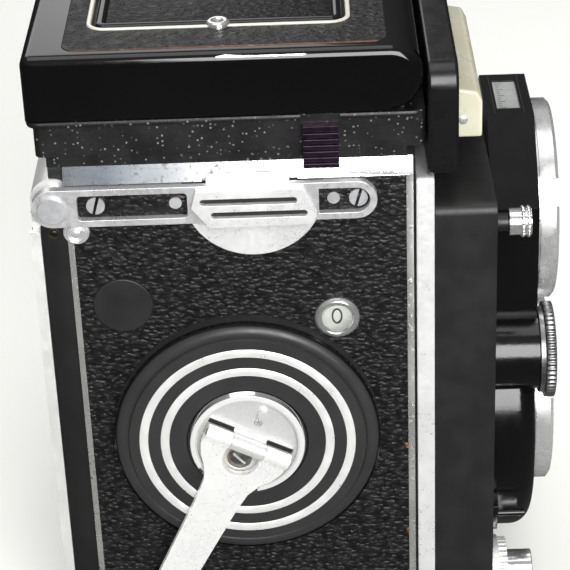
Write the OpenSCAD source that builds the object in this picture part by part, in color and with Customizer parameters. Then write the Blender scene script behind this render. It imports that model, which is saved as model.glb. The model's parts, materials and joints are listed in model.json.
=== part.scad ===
// Twin lens reflex camera for 6 x 6 cm roll film, with a folding crank and a folding finder hood.
// Millimetres. The lenses look along -Y, the crank is on the -X side and the focusing knob on +X.
// Z is up. The origin is the mouth of the tripod socket, in the plane of the base.

/* [Body] */
// Width over the leathered side panels
body_w = 77; // [76.8:0.1:77.6]
// Height of the side panels above the base
body_h = 122; // [121.8:0.1:122.4]
// Front edge of the side panels
panel_front_y = -35.1; // [-35.3:0.1:-34.9]
// Rear edge of the side panels
panel_rear_y = 34; // [33.6:0.1:34.1]
// Rear face of the chassis, where the door closes
chassis_rear_y = 39.3; // [39.2:0.1:39.4]
// Rear face of the door
door_rear_y = 41.5; // [41.4:0.1:41.9]
// Thickness of the leather
leather_t = 0.5; // [0.4:0.05:0.6]
// Height of the polished edge beads over the side plates
bead_h = 0.8; // [0.6:0.1:0.9]

/* [Lenses] */
// Height of the viewing lens axis
viewing_z = 92.4; // [92:0.1:92.8]
// Height of the taking lens axis
taking_z = 45; // [44.6:0.1:45.4]
// Outer radius of the bayonet rings
bayonet_r = 21.7; // [20:0.1:22.5]
// Radius of the lens tubes inside the body
tube_r = 16.5; // [15.5:0.1:16.5]
// Front face of the moving front standard
standard_front_y = -52; // [-52.4:0.1:-51.8]
// Front face of the lens housing
housing_front_y = -61.8; // [-62.2:0.1:-61.6]
// Front face of the bayonet rings
bayonet_front_y = -66.5; // [-67.5:0.1:-66]
// Distance from the viewing axis to each flat of the upper housing
housing_flat = 24.9; // [24:0.1:25.2]
// Radius of the lower housing round the taking lens
shroud_r = 32; // [31:0.1:32]
// Travel of the front standard when focusing
focus_travel = 6.1; // [5:0.1:6.4]

/* [Crank] */
// Height of the crank axis, which lies at y = 0
crank_z = 60; // [59.8:0.1:60.2]
// Radius of the crank flange
flange_r = 27.7; // [26.5:0.1:28]
// Radius of the hub inside the flange
hub_r = 12.5; // [12:0.1:12.5]
// Distance from the crank hinge to the knob
arm_len = 44.2; // [40:0.1:44.4]
// Resting direction of the arm, in degrees from straight down towards the back
arm_angle = 27; // [0:1:60]
// Teeth of the crank gear
crank_teeth = 36; // [36]
// Teeth of the idler gear
idler_teeth = 20; // [20]
// Teeth of the take-up gear
take_up_teeth = 22; // [22]

/* [Film] */
// Distance of the take-up spool axis behind the crank axis
spool_y = 24; // [23.8:0.1:24.1]
// Height of the take-up spool axis
spool_z = 91; // [90.8:0.1:91.2]
// Radius of the spool flanges
spool_flange_r = 12.2; // [11.5:0.1:12.3]
// Side of the square film gate
gate_side = 56; // [54:0.5:57]

/* [Back] */
// Distance of the door hinge axis behind the crank axis
hinge_y = 36.4; // [36.3:0.1:36.5]
// Height of the door hinge axis
hinge_z = 114.2; // [114:0.1:114.4]

/* [Hood] */
// Height of the joint between hood base and lid
lid_bottom_z = 132; // [131.8:0.1:132.2]
// Top of the lid
lid_top_z = 145.7; // [145.5:0.1:146.2]
// Rear face of the lid
lid_rear_y = 40.4; // [40:0.1:41]
// Hinge axis of the lid, which is also the centre of its round front end
lid_hinge_y = -30.6; // [-30.7:0.1:-30.5]
// Height of the folding side walls
side_wall_h = 32; // [26:0.5:32]
// Height of the folding rear wall
rear_wall_h = 18; // [12:0.5:18]

/* [Controls] */
// Radius of the focusing knob
focus_knob_r = 23; // [20:0.5:24]
// Distance that the focusing knob stands out from the centre of the camera
focus_knob_x = 55; // [50:0.5:58]
// Radius of the aperture and speed wheels
wheel_r = 10.2; // [9.5:0.1:10.5]
// Radius of the shutter release
button_r = 4; // [3.5:0.1:4]

/* [Hidden] */
$fn = 72;

// Small distances shared by many parts
gap = 0.1;
run = 0.05;
cut = 1;

// Layers of the two side panels, measured from the middle of the camera
half_w = body_w / 2;
plate_x = half_w - leather_t;
wall_x = plate_x - 1.5;
inner_x = wall_x - 4.5;
bead_x = plate_x + bead_h;
pocket_x = wall_x - 3.2;

// Base, top plate and front wall
base_t = 2.7;
top_plate_z = 118;
leather_top_z = 118.5;
frame_front_y = -39.3;
frame_rear_y = -35.6;
wall_front_y = -33.6;
frame_top_z = 117.3;

// Film transport
gear_gap = [spool_y, spool_z - crank_z];
gear_distance = norm(gear_gap);
gear_module = 2 * gear_distance / (crank_teeth + 2 * idler_teeth + take_up_teeth);
gear_angle = atan2(gear_gap[1], gear_gap[0]);
idler_distance = gear_module * (crank_teeth + idler_teeth) / 2;
idler_y = idler_distance * cos(gear_angle);
idler_z = crank_z + idler_distance * sin(gear_angle);
gear_t = 2.4;
gear_x = -pocket_x - 0.3 - gear_t;
feed_y = 15;
feed_z = 15;
gate_y = 31;
dial_y = -16;
dial_z = 92;
dial_r = 10.4;
window_y = -19.4;
window_z = 86.5;
window_r = 4.6;

// Crank
flange_x = half_w + 5.1;
hub_top_x = flange_x + 1.1;
hub_plate_x = flange_x;
barrel_r = 1.7;
barrel_x = hub_plate_x + barrel_r + gap;
barrel_len = 18.6;
knuckle_len = 7.4;
arm_in_x = flange_x + 0.5;
arm_t = 1.6;
crank_shaft_r = 3;
pin_r = 0.85;
knob_r = 3.8;

// Strap bar and the screws and rivets that hold it
strap_front_y = -23.8;
strap_r = 4.1;
strap_out_x = half_w + 2;
lug_out_x = strap_out_x + 1.4;
moon_y = -3.4;
moon_z = 115.8;
moon_r = 14;
moon_t = 0.4;
strap_screws = [27.8, -24.2];
strap_rivets = [12, -19.3];
stud_y = 32.1;
stud_z = 108.3;
stud_r = 2.6;

// Focusing
focus_y = -4;
focus_z = 70;
cam_r = 6;
cam_turn = 270;
cam_x = 29.6;
cam_t = 1.8;

// Door
barrel_door_r = 4.7;
lip_front_y = 7;
lip_t = 2.4;
rod_r = 1.4;

// Hood
hood_base_z = body_h;
hood_rear_y = 39;
hood_front_y = -37.6;
hood_half_w = 38;
lid_front_r = (lid_top_z - lid_bottom_z - run) / 2;
lid_hinge_z = lid_top_z - lid_front_r;
lid_wall = 2.2;
lid_under_z = lid_top_z - lid_wall;
lid_inner_front_y = lid_hinge_y + 2.6;
wall_t = 0.8;
wall_barrel_r = 1.1;
wall_pin_r = 0.45;
side_hinge_x = 33;
side_hinge_z = lid_bottom_z + 1.3;
side_front_y = -22.6;
side_rear_y = 28.5;
rear_hinge_y = 31.2;
rear_hinge_z = lid_bottom_z + 3.2;
rear_half_w = 31.4;
post_len = 1.2;
ear_in_x = 34.4;
ear_out_x = 36.1;
magnifier_hinge_y = lid_hinge_y + 25;
magnifier_z = 141.5;
magnifier_reach = 28;
magnifier_r = 11.5;
catch_y = -17.1;

// Extrudes a (y, z) drawing from x0 to x1
module along_x(x0, x1) {
    translate([x0, 0, 0]) rotate([90, 0, 90]) linear_extrude(x1 - x0) children();
}

// Extrudes an (x, z) drawing from y0 to y1
module along_y(y0, y1) {
    translate([0, y1, 0]) rotate([90, 0, 0]) linear_extrude(y1 - y0) children();
}

// Extrudes an (x, y) drawing from z0 to z1
module along_z(z0, z1) {
    translate([0, 0, z0]) linear_extrude(z1 - z0) children();
}

// Round rod along X at (y, z)
module rod_x(x0, x1, r, y, z) {
    translate([x0, y, z]) rotate([0, 90, 0]) cylinder(h = x1 - x0, r = r);
}

// Round rod along Y at (x, z)
module rod_y(y0, y1, r, x, z) {
    translate([x, y0, z]) rotate([-90, 0, 0]) cylinder(h = y1 - y0, r = r);
}

// Box given by two corners
module box(lo, hi) {
    translate(lo) cube(hi - lo);
}

// Rectangle given by two corners
module rect(a0, b0, a1, b1) {
    translate([a0, b0]) square([a1 - a0, b1 - b0]);
}

// Rectangle with four round corners
module round_rect(a0, b0, a1, b1, r) {
    rect(a0 + r, b0, a1 - r, b1);
    rect(a0, b0 + r, a1, b1 - r);
    for (a = [a0 + r, a1 - r], b = [b0 + r, b1 - r]) translate([a, b]) circle(r);
}

// Bar with two round ends from a0 to a1 at height b
module slot2d(a0, a1, b, r) {
    rect(a0, b - r, a1, b + r);
    for (a = [a0, a1]) translate([a, b]) circle(r);
}

// Disc with n small teeth round its rim, of depth d
module knurl2d(r, n, d) {
    polygon([for (i = [0:n - 1], s = [0:3])
        let (rr = s < 2 ? r : r - d, a = 360 * (i + s / 4) / n) [rr * cos(a), rr * sin(a)]]);
}

// Involute angle, in degrees, at radius r from base radius rb
function involute(rb, r) = let (t = sqrt(max(0, r * r / rb / rb - 1))) t * 180 / PI - atan(t);

// Spur gear outline with 20 degree involute teeth, one tooth centred on the first axis
module gear2d(teeth, m, slack) {
    rp = teeth * m / 2;
    rb = rp * cos(20);
    ra = rp + m;
    rf = rp - 1.25 * m;
    half = 90 / teeth - slack / rp * 90 / PI;
    steps = 4;
    start = max(rb, rf);
    flank = [for (k = [0:steps]) let (r = start + (ra - start) * k / steps)
        [r, half + involute(rb, rp) - involute(rb, r)]];
    polygon([for (i = [0:teeth - 1]) each concat(
        [[rf * cos(360 * i / teeth - flank[0][1]), rf * sin(360 * i / teeth - flank[0][1])]],
        [for (p = flank) [p[0] * cos(360 * i / teeth - p[1]), p[0] * sin(360 * i / teeth - p[1])]],
        [for (k = [steps:-1:0]) let (p = flank[k])
            [p[0] * cos(360 * i / teeth + p[1]), p[0] * sin(360 * i / teeth + p[1])]],
        [[rf * cos(360 * i / teeth + flank[0][1]), rf * sin(360 * i / teeth + flank[0][1])]]
    )]);
}

// Side outline of the body with the round recess for the door hinge
module body_side() {
    difference() {
        union() {
            rect(frame_rear_y, base_t, chassis_rear_y, body_h);
            rect(frame_rear_y, 0, lip_front_y - gap, base_t + cut);
        }
        translate([hinge_y, hinge_z]) circle(barrel_door_r + 0.3);
        rect(hinge_y + 0.6, hinge_z, chassis_rear_y + cut, body_h + cut);
    }
}

// Slanting shelf between the two light chambers
module chamber_floor2d() {
    polygon([[wall_front_y - cut, 62.5], [-2, 64], [gate_y, 76.8], [gate_y, 78], [-2, 65.2],
        [wall_front_y - cut, 63.7]]);
}

// Position of the mirror in the side view, seen from its lower front edge
module at_mirror() {
    translate([-25, 69]) rotate(45) children();
}

module chassis() {
    color("#1a1a1c") {
        difference() {
            union() {
                difference() {
                    along_x(-wall_x, wall_x) body_side();
                    along_x(-inner_x, inner_x) rect(wall_front_y, base_t, chassis_rear_y + cut, top_plate_z);
                }
                along_x(-inner_x - gap, inner_x + gap) {
                    chamber_floor2d();
                    rect(gate_y - 1.5, 12, gate_y, 79);
                    at_mirror() rect(-1, -3.1, 70, -1.7);
                    rect(1, base_t - gap, 2.2, 22);
                }
            }
            // Film gate
            box([-gate_side / 2, gate_y - 3, taking_z - gate_side / 2],
                [gate_side / 2, gate_y + cut, taking_z + gate_side / 2]);
            // Opening and seat of the focusing screen
            box([-28, -29.5, top_plate_z - cut], [28, 27.5, body_h + cut]);
            box([-29.6, -30.6, top_plate_z + 1], [29.6, 28.6, body_h + cut]);
            // Lens tubes and focusing rails through the front wall
            for (z = [viewing_z, taking_z]) rod_y(frame_rear_y - cut, wall_front_y + 3, tube_r + 0.4, 0, z);
            for (s = [-1, 1]) {
                box([s * (cam_x + cam_t / 2) - 1.2, frame_rear_y - cut, focus_z - 2.2],
                    [s * (cam_x + cam_t / 2) + 1.2, focus_y - 5, focus_z + 2.2]);
                rod_x(s * 30.8 - 1.4, s * 30.8 + 1.4, cam_r + focus_travel + 1, focus_y, focus_z);
            }
            // Gear case in the crank side wall
            along_x(-wall_x - cut, -pocket_x) {
                translate([0, crank_z]) circle(crank_teeth * gear_module / 2 + gear_module + 0.5);
                translate([idler_y, idler_z]) circle(idler_teeth * gear_module / 2 + gear_module + 0.5);
                translate([spool_y, spool_z]) circle(take_up_teeth * gear_module / 2 + gear_module + 0.4);
                translate([dial_y, dial_z]) circle(dial_r + 0.4);
            }
            // Bearings
            rod_x(-wall_x - cut, -inner_x + cut, crank_shaft_r + run, 0, crank_z);
            rod_x(-wall_x - cut, -inner_x + cut, 1.5 + run, spool_y, spool_z);
            rod_x(inner_x - cut, wall_x + cut, 2 + run, spool_y, spool_z);
            rod_x(inner_x - cut, wall_x + cut, 2 + run, feed_y, feed_z);
            rod_x(inner_x - cut, wall_x + cut, 2 + run, focus_y, focus_z);
            rod_x(-inner_x - 1.5, -inner_x + cut, 2 + run, focus_y, focus_z);
            // Tripod socket and back latch in the base
            translate([0, 0, -cut]) cylinder(h = 9, r = 5.5);
            box([-6.2, 5.2, 0.8], [6.2, lip_front_y + cut, 1.8]);
            // Shaft of the door hinge
            rod_x(-wall_x - cut, wall_x + cut, rod_r + run, hinge_y, hinge_z);
        }
        // Studs that carry the idler gear and the counter dial
        rod_x(-wall_x + 0.2, -pocket_x + gap, 1.5, idler_y, idler_z);
        rod_x(-wall_x + 0.2, -pocket_x + gap, 1.2, dial_y, dial_z);
        // Dark strips between the side panels and the door, and in front of the panels
        for (s = [-1, 1]) {
            along_x(min(s * (wall_x - gap), s * (plate_x + 0.2)), max(s * (wall_x - gap), s * (plate_x + 0.2)))
                difference() {
                    union() {
                        rect(panel_rear_y + gap, base_t, chassis_rear_y, 118);
                        rect(frame_rear_y, 0, panel_front_y - 0.05, body_h - cut);
                        rect(panel_front_y - gap, 0, lip_front_y - gap, base_t - gap);
                    }
                    translate([hinge_y, hinge_z]) circle(barrel_door_r + 0.3);
                    translate([stud_y, stud_z]) circle(stud_r + gap);
                    rect(panel_rear_y - cut, hinge_z - 5, chassis_rear_y + cut, body_h);
                }
        }
        // Boss round the tripod socket
        difference() {
            translate([0, 0, base_t - gap]) cylinder(h = 5.5, r = 7);
            translate([0, 0, -cut]) cylinder(h = 8.1, r = 5.5);
            box([-8, 0.98, 0], [8, 9, 20]);
        }
    }
}

// Screws, rivets and control openings of one side panel, as a (y, z) drawing
module panel_holes(crank_side, slack) {
    for (y = concat(strap_screws, strap_rivets)) translate([y, hinge_z]) circle(0.8 + slack);
    translate([stud_y, stud_z]) circle(1 + slack);
    if (crank_side) {
        translate([0, crank_z]) circle(crank_shaft_r + slack);
        translate([window_y, window_z]) circle(3.7 + slack);
    } else {
        translate([focus_y, focus_z]) circle(2 + slack);
        translate([feed_y, feed_z]) circle(2 + slack);
    }
    translate([spool_y, spool_z]) circle(2 + slack);
}

// Metal side plate with polished beads round the leather, drawn for the crank side
module side_plate(crank_side) {
    color("#d6d6d2") difference() {
        along_x(-bead_x, -wall_x) rect(panel_front_y, base_t, panel_rear_y, body_h);
        along_x(-bead_x - cut, -plate_x) rect(panel_front_y + 1.4, base_t + 1.4, panel_rear_y - 1.2, leather_top_z);
        along_x(-bead_x - cut, -wall_x + cut) panel_holes(crank_side, run);
        // Slope along the top edge
        along_y(panel_front_y - cut, panel_rear_y + cut)
            polygon([[-bead_x - cut, leather_top_z], [-bead_x, leather_top_z], [-wall_x - 0.5, body_h + gap],
                [-bead_x - cut, body_h + gap]]);
        // Notch for the tab of the strap wear plate
        box([-bead_x - cut, moon_y - 8.9, leather_top_z - cut], [-plate_x - leather_t + 0.1, moon_y + 9.9, body_h + cut]);
        // Relief round the rear end of the strap bar, behind the bar and round the stepped stud
        rod_x(-bead_x - cut, -wall_x + cut, barrel_door_r + 0.35, hinge_y, hinge_z);
        along_x(-bead_x - cut, -half_w) slot2d(strap_front_y, hinge_y, hinge_z, strap_r + gap);
        rod_x(-bead_x - cut, -plate_x, stud_r + gap, stud_y, stud_z);
    }
}

module side_skin(crank_side) {
    color("#202021") difference() {
        along_x(-half_w, -plate_x)
            rect(panel_front_y + 1.4, base_t + 1.4, panel_rear_y - 1.2, leather_top_z);
        along_x(-half_w - cut, -plate_x + cut) {
            panel_holes(crank_side, run);
            if (crank_side) {
                translate([0, crank_z]) circle(flange_r + run);
                translate([window_y, window_z]) circle(window_r + run);
                translate([spool_y, spool_z]) circle(6.1 + run);
            }
            translate([stud_y, stud_z]) circle(stud_r + gap);
        }
    }
}

module crank_side_cover() { side_plate(true); }
module crank_side_leather() { side_skin(true); }
module knob_side_cover() { mirror([1, 0, 0]) side_plate(false); }
module knob_side_leather() { mirror([1, 0, 0]) side_skin(false); }

module front_frame() {
    color("#dcdcd8") along_y(frame_front_y, frame_rear_y - run) difference() {
        union() {
            round_rect(-half_w, base_t, half_w, frame_top_z, 1.2);
            rect(-half_w, 0, half_w, 20);
        }
        rect(-36, 3.4, 36, 111.5);
    }
}

module tripod_socket() {
    color("#c9c9c4") difference() {
        cylinder(h = 6.8, r = 5.5 - run);
        translate([0, 0, -cut]) cylinder(h = 5.5 + cut, r = 2.55);
    }
}

module reflex_mirror() {
    color("#c8d0d4") along_x(-28.5, 28.5) at_mirror() rect(0, -1.6, 66, -gap);
}

module focusing_screen() {
    color("#dfe6e4") box([-29.5, -30.5, top_plate_z + 1], [29.5, 28.5, top_plate_z + 3]);
}

// Black flange of the crank with two bare metal bands
module crank_flange() {
    color("#1c1c1e") translate([-plate_x, 0, crank_z]) rotate([0, -90, 0]) rotate_extrude() difference() {
        union() {
            rect(hub_r + 0.15, 0, flange_r - 2.2, flange_x - plate_x);
            rect(hub_r + 0.15, 0, flange_r, flange_x - plate_x - 2.2);
            translate([flange_r - 2.2, flange_x - plate_x - 2.2]) circle(2.2);
            rect(20.7, 1, 22.5, flange_x - plate_x + 0.12);
            rect(16.3, 1, 18.1, flange_x - plate_x + 0.12);
        }
    }
}

module counter_bezel() {
    color("#e2e2e0") translate([-plate_x, window_y, window_z]) rotate([0, -90, 0]) rotate_extrude()
        polygon([[3.1, 0], [window_r, 0], [window_r, 0.9], [4, 1.5], [3.4, 1.5], [3.1, 0.9]]);
}

module counter_window() {
    color("#f2f2ea") rod_x(-plate_x - 0.7, -plate_x, 3.05, window_y, window_z);
}

module spool_bearing_cap() {
    color("#161617") difference() {
        union() {
            rod_x(-half_w - 0.5, -plate_x, 6.1, spool_y, spool_z);
            rod_x(-plate_x - gap, -wall_x + gap, 2, spool_y, spool_z);
        }
        rod_x(-plate_x + 0.4, -wall_x + cut, 1.2 + run, spool_y, spool_z);
    }
}

// Draws a part on the crank side and its mirror image on the knob side
module both_sides() {
    children();
    mirror([1, 0, 0]) children();
}

module strap_bars() {
    color("#e4e4e2") both_sides() difference() {
        along_x(-strap_out_x, -half_w) difference() {
            slot2d(strap_front_y, hinge_y, hinge_z, strap_r);
            round_rect(9.6, hinge_z - 2.7, 31.4, hinge_z + 2.7, 0.8);
            translate([strap_front_y, hinge_z]) circle(2.7);
            translate([hinge_y, hinge_z]) circle(rod_r + run);
        }
        along_x(-half_w - moon_t - run, -half_w + cut) rect(moon_y - moon_r, 100, moon_y + moon_r, 125);
        along_x(-strap_out_x - cut, -half_w + cut) rect(strap_front_y, hinge_z - 2.7, -16.4, hinge_z + 2.7);
        rod_x(-half_w - 1.4, -half_w + cut, stud_r + gap, stud_y, stud_z);
    }
}

module strap_lugs() {
    color("#ececea") both_sides() along_x(-lug_out_x, -strap_out_x) difference() {
        polygon([[7.8, 117.8], [-13.3, 117.8], [-15.9, 111.6], [-14.9, 109.9], [5.3, 109.6], [8.8, 114.1]]);
        slot2d(-11.4, 6.4, 115.3, 0.7);
        slot2d(-13.4, 4.3, 112.4, 0.7);
    }
}

module strap_wear_plates() {
    color("#f0f0ee") both_sides() along_x(-half_w - moon_t, -half_w) union() {
        intersection() {
            translate([moon_y, moon_z]) circle(moon_r);
            rect(moon_y - moon_r, moon_z - moon_r - cut, moon_y + moon_r, hinge_z);
        }
        rect(moon_y - 7.3, hinge_z - cut, moon_y + 9.2, 120.2);
    }
}

module screws_and_pins() {
    color("#cfcfcb") {
        // Hinge rod of the door
        rod_x(-strap_out_x - 0.2, strap_out_x + 0.2, rod_r, hinge_y, hinge_z);
        both_sides() {
            rod_x(-strap_out_x - 0.9, -strap_out_x, 2.7, hinge_y, hinge_z);
            // Slotted screws of the strap bar
            for (y = strap_screws) difference() {
                union() {
                    rod_x(-half_w - 1, -half_w, 1.85, y, hinge_z);
                    rod_x(-half_w - gap, -wall_x, 0.8, y, hinge_z);
                }
                translate([-half_w - 1.2, y, hinge_z]) rotate([16, 0, 0]) cube([1.6, 0.6, 5], center = true);
            }
            // Rivets
            for (y = strap_rivets) {
                rod_x(-half_w - 0.8, -half_w, 1.25, y, hinge_z);
                rod_x(-half_w - gap, -wall_x, 0.8, y, hinge_z);
            }
            // Stepped stud behind the bar
            rod_x(-plate_x - 1.2, -plate_x, stud_r, stud_y, stud_z);
            rod_x(-plate_x - 1.9, -plate_x - 1, 1.9, stud_y, stud_z);
            rod_x(-plate_x - gap, -wall_x, 1, stud_y, stud_z);
        }
    }
}

// Housing of the light meter, in front of the hood
module meter_housing() {
    color("#1b1b1d") difference() {
        along_y(-44.1, -38) {
            round_rect(-half_w, 117.5, half_w, 141, 4.8);
            rect(-half_w + 2, 117.5, half_w - 2, 125);
            for (s = [-1, 1]) translate([s * (half_w - 2), 119.5]) circle(2);
            rect(-half_w, 119.5, half_w, 130);
        }
        box([-20, -44.1 - cut, 119.5], [20, -42.6, 126.5]);
    }
}

module meter_cell() {
    color("#b9b79c") difference() {
        box([-19.9, -44, 119.6], [19.9, -42.6, 126.4]);
        for (x = [-18:3:18]) box([x - 0.25, -44 - cut, 120.2], [x + 0.25, -43.6, 125.8]);
    }
}

module meter_diffuser() {
    color("#efeccb") difference() {
        along_x(-22.5, 22.5) polygon([[-44.2, 118.3], [-50, 118.3], [-50, 126.2], [-48.9, 128.4], [-44.2, 129.2]]);
        box([-21.3, -48.6, 119.2], [21.3, -44.2 + cut, 127]);
    }
}

// Outline of the front standard as an (x, z) drawing
module standard2d(inset) {
    round_rect(-37.5 + inset, 4 + inset, 37.5 - inset, 110.4 - inset, 2.2);
}

module front_standard() {
    color("#1a1a1b") {
        difference() {
            along_y(standard_front_y, frame_front_y - gap) standard2d(0);
            along_y(standard_front_y + 2, frame_front_y + cut) standard2d(2);
            for (z = [viewing_z, taking_z])
                rod_y(standard_front_y - cut, standard_front_y + 3, tube_r - 0.9, 0, z);
            rod_y(standard_front_y - cut, standard_front_y + 3, button_r + run, -30, 15.2);
        }
        for (z = [viewing_z, taking_z]) difference() {
            rod_y(standard_front_y + 1.5, -30, tube_r, 0, z);
            rod_y(standard_front_y + 1, -30 + cut, tube_r - 0.9, 0, z);
        }
        // Rails that follow the focusing cams
        for (s = [-1, 1]) {
            x0 = s * (cam_x + cam_t / 2) - cam_t / 2;
            tip = focus_y - cam_r - gap;
            along_x(x0, x0 + cam_t) {
                rect(standard_front_y + 1.5, focus_z - 1.5, tip - 1.5, focus_z + 1.5);
                translate([tip - 1.5, focus_z]) circle(1.5);
            }
        }
        // Socket for the flash cable
        rod_y(standard_front_y - 2.4, standard_front_y + gap, 1.9, -34.4, 105);
        rod_y(standard_front_y - 6.4, standard_front_y - 2.3, 1.4, -34.4, 105);
    }
}

// Octagon with the given distance from its middle to each flat
module octagon(flat) {
    rotate(22.5) circle(flat / cos(22.5), $fn = 8);
}

module lens_housing() {
    back = standard_front_y;
    depth = back - housing_front_y;
    color("#19191b") difference() {
        union() {
            along_y(housing_front_y, back) difference() {
                union() {
                    translate([0, viewing_z]) octagon(housing_flat);
                    rect(-housing_flat, taking_z, housing_flat, viewing_z);
                    for (s = [-1, 1]) translate([s * 25, 69]) circle(8.4);
                }
            }
            // Lower housing with a round front edge
            translate([0, back, taking_z]) rotate([90, 0, 0]) rotate_extrude() {
                rect(0, 0, shroud_r, depth - 4.5);
                rect(0, 0, shroud_r - 4.5, depth);
                translate([shroud_r - 4.5, depth - 4.5]) circle(4.5);
            }
        }
        for (z = [viewing_z, taking_z]) rod_y(housing_front_y - cut, back + cut, tube_r - 0.9, 0, z);
        // Window over the aperture and speed scales
        box([-7, -59.3, viewing_z + housing_flat - 1.2], [7, -54.4, viewing_z + housing_flat + cut]);
    }
    // Studs that carry the two wheels
    for (s = [-1, 1]) color("#b9b9b7") rod_y(housing_front_y - 2.8, housing_front_y + 0.5, 1.6, s * 25, 69);
}

module bayonet(z) {
    color("#dededc") translate([0, housing_front_y, z]) rotate([90, 0, 0]) difference() {
        rotate_extrude() polygon([[tube_r - 0.9, 0], [bayonet_r - 0.5, 0], [bayonet_r - 0.5, 0.8], [bayonet_r, 0.8],
            [bayonet_r, 4], [bayonet_r - 0.8, 4.7], [bayonet_r - 2, 4.7], [bayonet_r - 2.4, 2.4],
            [tube_r + 0.8, 2.4], [tube_r - 0.9, 1.2]]);
        // Entry slots of the bayonet
        for (a = [30, 150, 270]) rotate(a) box([bayonet_r - 3, -3, 3.2], [bayonet_r + 2, 3, 6]);
    }
}

module viewing_bayonet() { bayonet(viewing_z); }
module taking_bayonet() { bayonet(taking_z); }

// Retaining ring and crowned front glass of one lens, and its rear glass
module lens_glass(z, crown, rear_r) {
    r = tube_r - 0.95;
    ball = (r * r + crown * crown) / (2 * crown);
    translate([0, housing_front_y, z]) rotate([90, 0, 0]) {
        intersection() {
            translate([0, 0, 1.2 + crown - ball]) sphere(ball, $fn = 120);
            translate([0, 0, -3]) cylinder(h = 12, r = r - 0.1);
        }
        translate([0, 0, -26]) cylinder(h = 5, r = rear_r);
    }
}

module viewing_lens() { color("#3b4a5c") lens_glass(viewing_z, 2.6, tube_r - 1); }
module taking_lens() { color("#39485c") lens_glass(taking_z, 2.2, tube_r - 1); }

// Five blades that close to a full disc behind the front glass of the taking lens
module shutter_blades() {
    color("#3c3c3e") for (i = [0:4])
        translate([0, standard_front_y - 1.5, taking_z]) rotate([90, 0, 0]) rotate(72 * i)
            rotate_extrude(angle = 71.4) rect(0.3, 0, tube_r - 1.1, 0.4);
}

module control_wheel(x) {
    color("#2a2a2c") translate([x, housing_front_y - gap, 69]) rotate([90, 0, 0]) difference() {
        union() {
            linear_extrude(1.2) circle(wheel_r - 1);
            translate([0, 0, 1.1]) linear_extrude(2.1) knurl2d(wheel_r, 54, 0.35);
        }
        translate([0, 0, 1.8]) cylinder(h = 4, r = wheel_r - 2.4);
        translate([0, 0, -cut]) cylinder(h = 6, r = 1.6 + run);
    }
}

module aperture_wheel() { control_wheel(-25); }
module speed_wheel() { control_wheel(25); }

// Knurled clamp that locks the flash cable
module flash_socket_clamp() {
    color("#e6e6e4") translate([-34.4, standard_front_y - 2.5, 105]) rotate([90, 0, 0]) difference() {
        union() {
            cylinder(h = 2.4, r = 2.6);
            for (z = [2.3, 3.5]) translate([0, 0, z]) linear_extrude(1) knurl2d(3.2, 20, 0.35);
            cylinder(h = 4.4, r = 2.7);
        }
        translate([0, 0, -cut]) cylinder(h = 8, r = 1.9 + run);
    }
}

// Lever that swings round the taking lens on the face of the standard
module self_timer_lever() {
    color("#151516") translate([0, standard_front_y - gap, taking_z]) rotate([90, 0, 0]) {
        rotate(195) rotate_extrude(angle = 14) rect(shroud_r + 0.6, 0, shroud_r + 4.6, 1.2);
        rotate(201) translate([shroud_r + 3.4, 0, 1.1]) cylinder(h = 6, r = 0.75);
    }
}

module release_button() {
    color("#e8e8e6") difference() {
        rod_y(-61.2, -52.6, button_r, -30, 15.2);
        rod_y(-61.2 - cut, -57, 1.5, -30, 15.2);
    }
}

module release_collar() {
    color("#d9d9d7") translate([-30, standard_front_y - gap, 15.2]) rotate([90, 0, 0]) difference() {
        union() {
            cylinder(h = 1.6, r = 7.4);
            translate([0, 0, 1.5]) linear_extrude(2) knurl2d(6.9, 32, 0.3);
        }
        translate([0, 0, -cut]) cylinder(h = 8, r = button_r + run);
    }
}

// Places a part made round the crank axis: its own z points out of the crank side
module at_crank(x) {
    translate([-x, 0, crank_z]) rotate([0, -90, 0]) children();
}

// Turns a part so that its own x runs along the crank arm and its own z out of the crank side
module at_arm(x) {
    at_crank(x) rotate(180 - arm_angle) children();
}

module crank_hub() {
    color("#d8d8d6") {
        difference() {
            union() {
                at_crank(half_w + 0.2) cylinder(h = hub_plate_x - half_w - 0.2, r = hub_r);
                at_crank(hub_plate_x - gap) rotate_extrude()
                    polygon([[10.5, 0], [hub_r, 0], [hub_r, 0.2], [11.8, 1.2], [10.5, 1.2]]);
                at_crank(inner_x + 0.3) cylinder(h = half_w - inner_x, r = crank_shaft_r);
            }
            // Bed of the hinge
            at_arm(hub_plate_x - 0.6) box([-2.2, -9.6, 0], [2.2, 9.6, 3]);
            // Mouth of the rim under the arm
            at_arm(hub_plate_x) box([8, -6.7, 0], [14, 6.7, 3]);
            at_arm(hub_plate_x - 0.9) translate([-5.2, 0, 0]) cylinder(h = 2, r = 0.9);
        }
        // Middle knuckle and its foot
        at_arm(hub_plate_x - 0.7) box([-1.3, -knuckle_len / 2, 0], [1.3, knuckle_len / 2, 1.5]);
        at_arm(barrel_x) rotate([90, 0, 0]) difference() {
            translate([0, 0, -knuckle_len / 2]) cylinder(h = knuckle_len, r = barrel_r);
            translate([0, 0, -knuckle_len]) cylinder(h = 2 * knuckle_len, r = pin_r + run);
        }
        // Catch stud and the screw in front of the hinge
        at_arm(hub_plate_x - gap) translate([-7.7, 0, 0]) cylinder(h = 1.3, r = 1.1);
        at_arm(hub_plate_x - gap) translate([4, 0, 0]) cylinder(h = 0.9, r = 1.8);
    }
}

// Outline of the crank arm, x along the arm
module arm2d() {
    polygon([[0.3, -barrel_len / 2], [3, -barrel_len / 2], [5.5, -8.2], [8, -6.3], [11, -5], [16, -4.5],
        [arm_len, -3.6], [arm_len, 3.6], [16, 4.5], [11, 5], [8, 6.3], [5.5, 8.2], [3, barrel_len / 2],
        [0.3, barrel_len / 2]]);
    translate([arm_len, 0]) circle(4.4);
}

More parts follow.
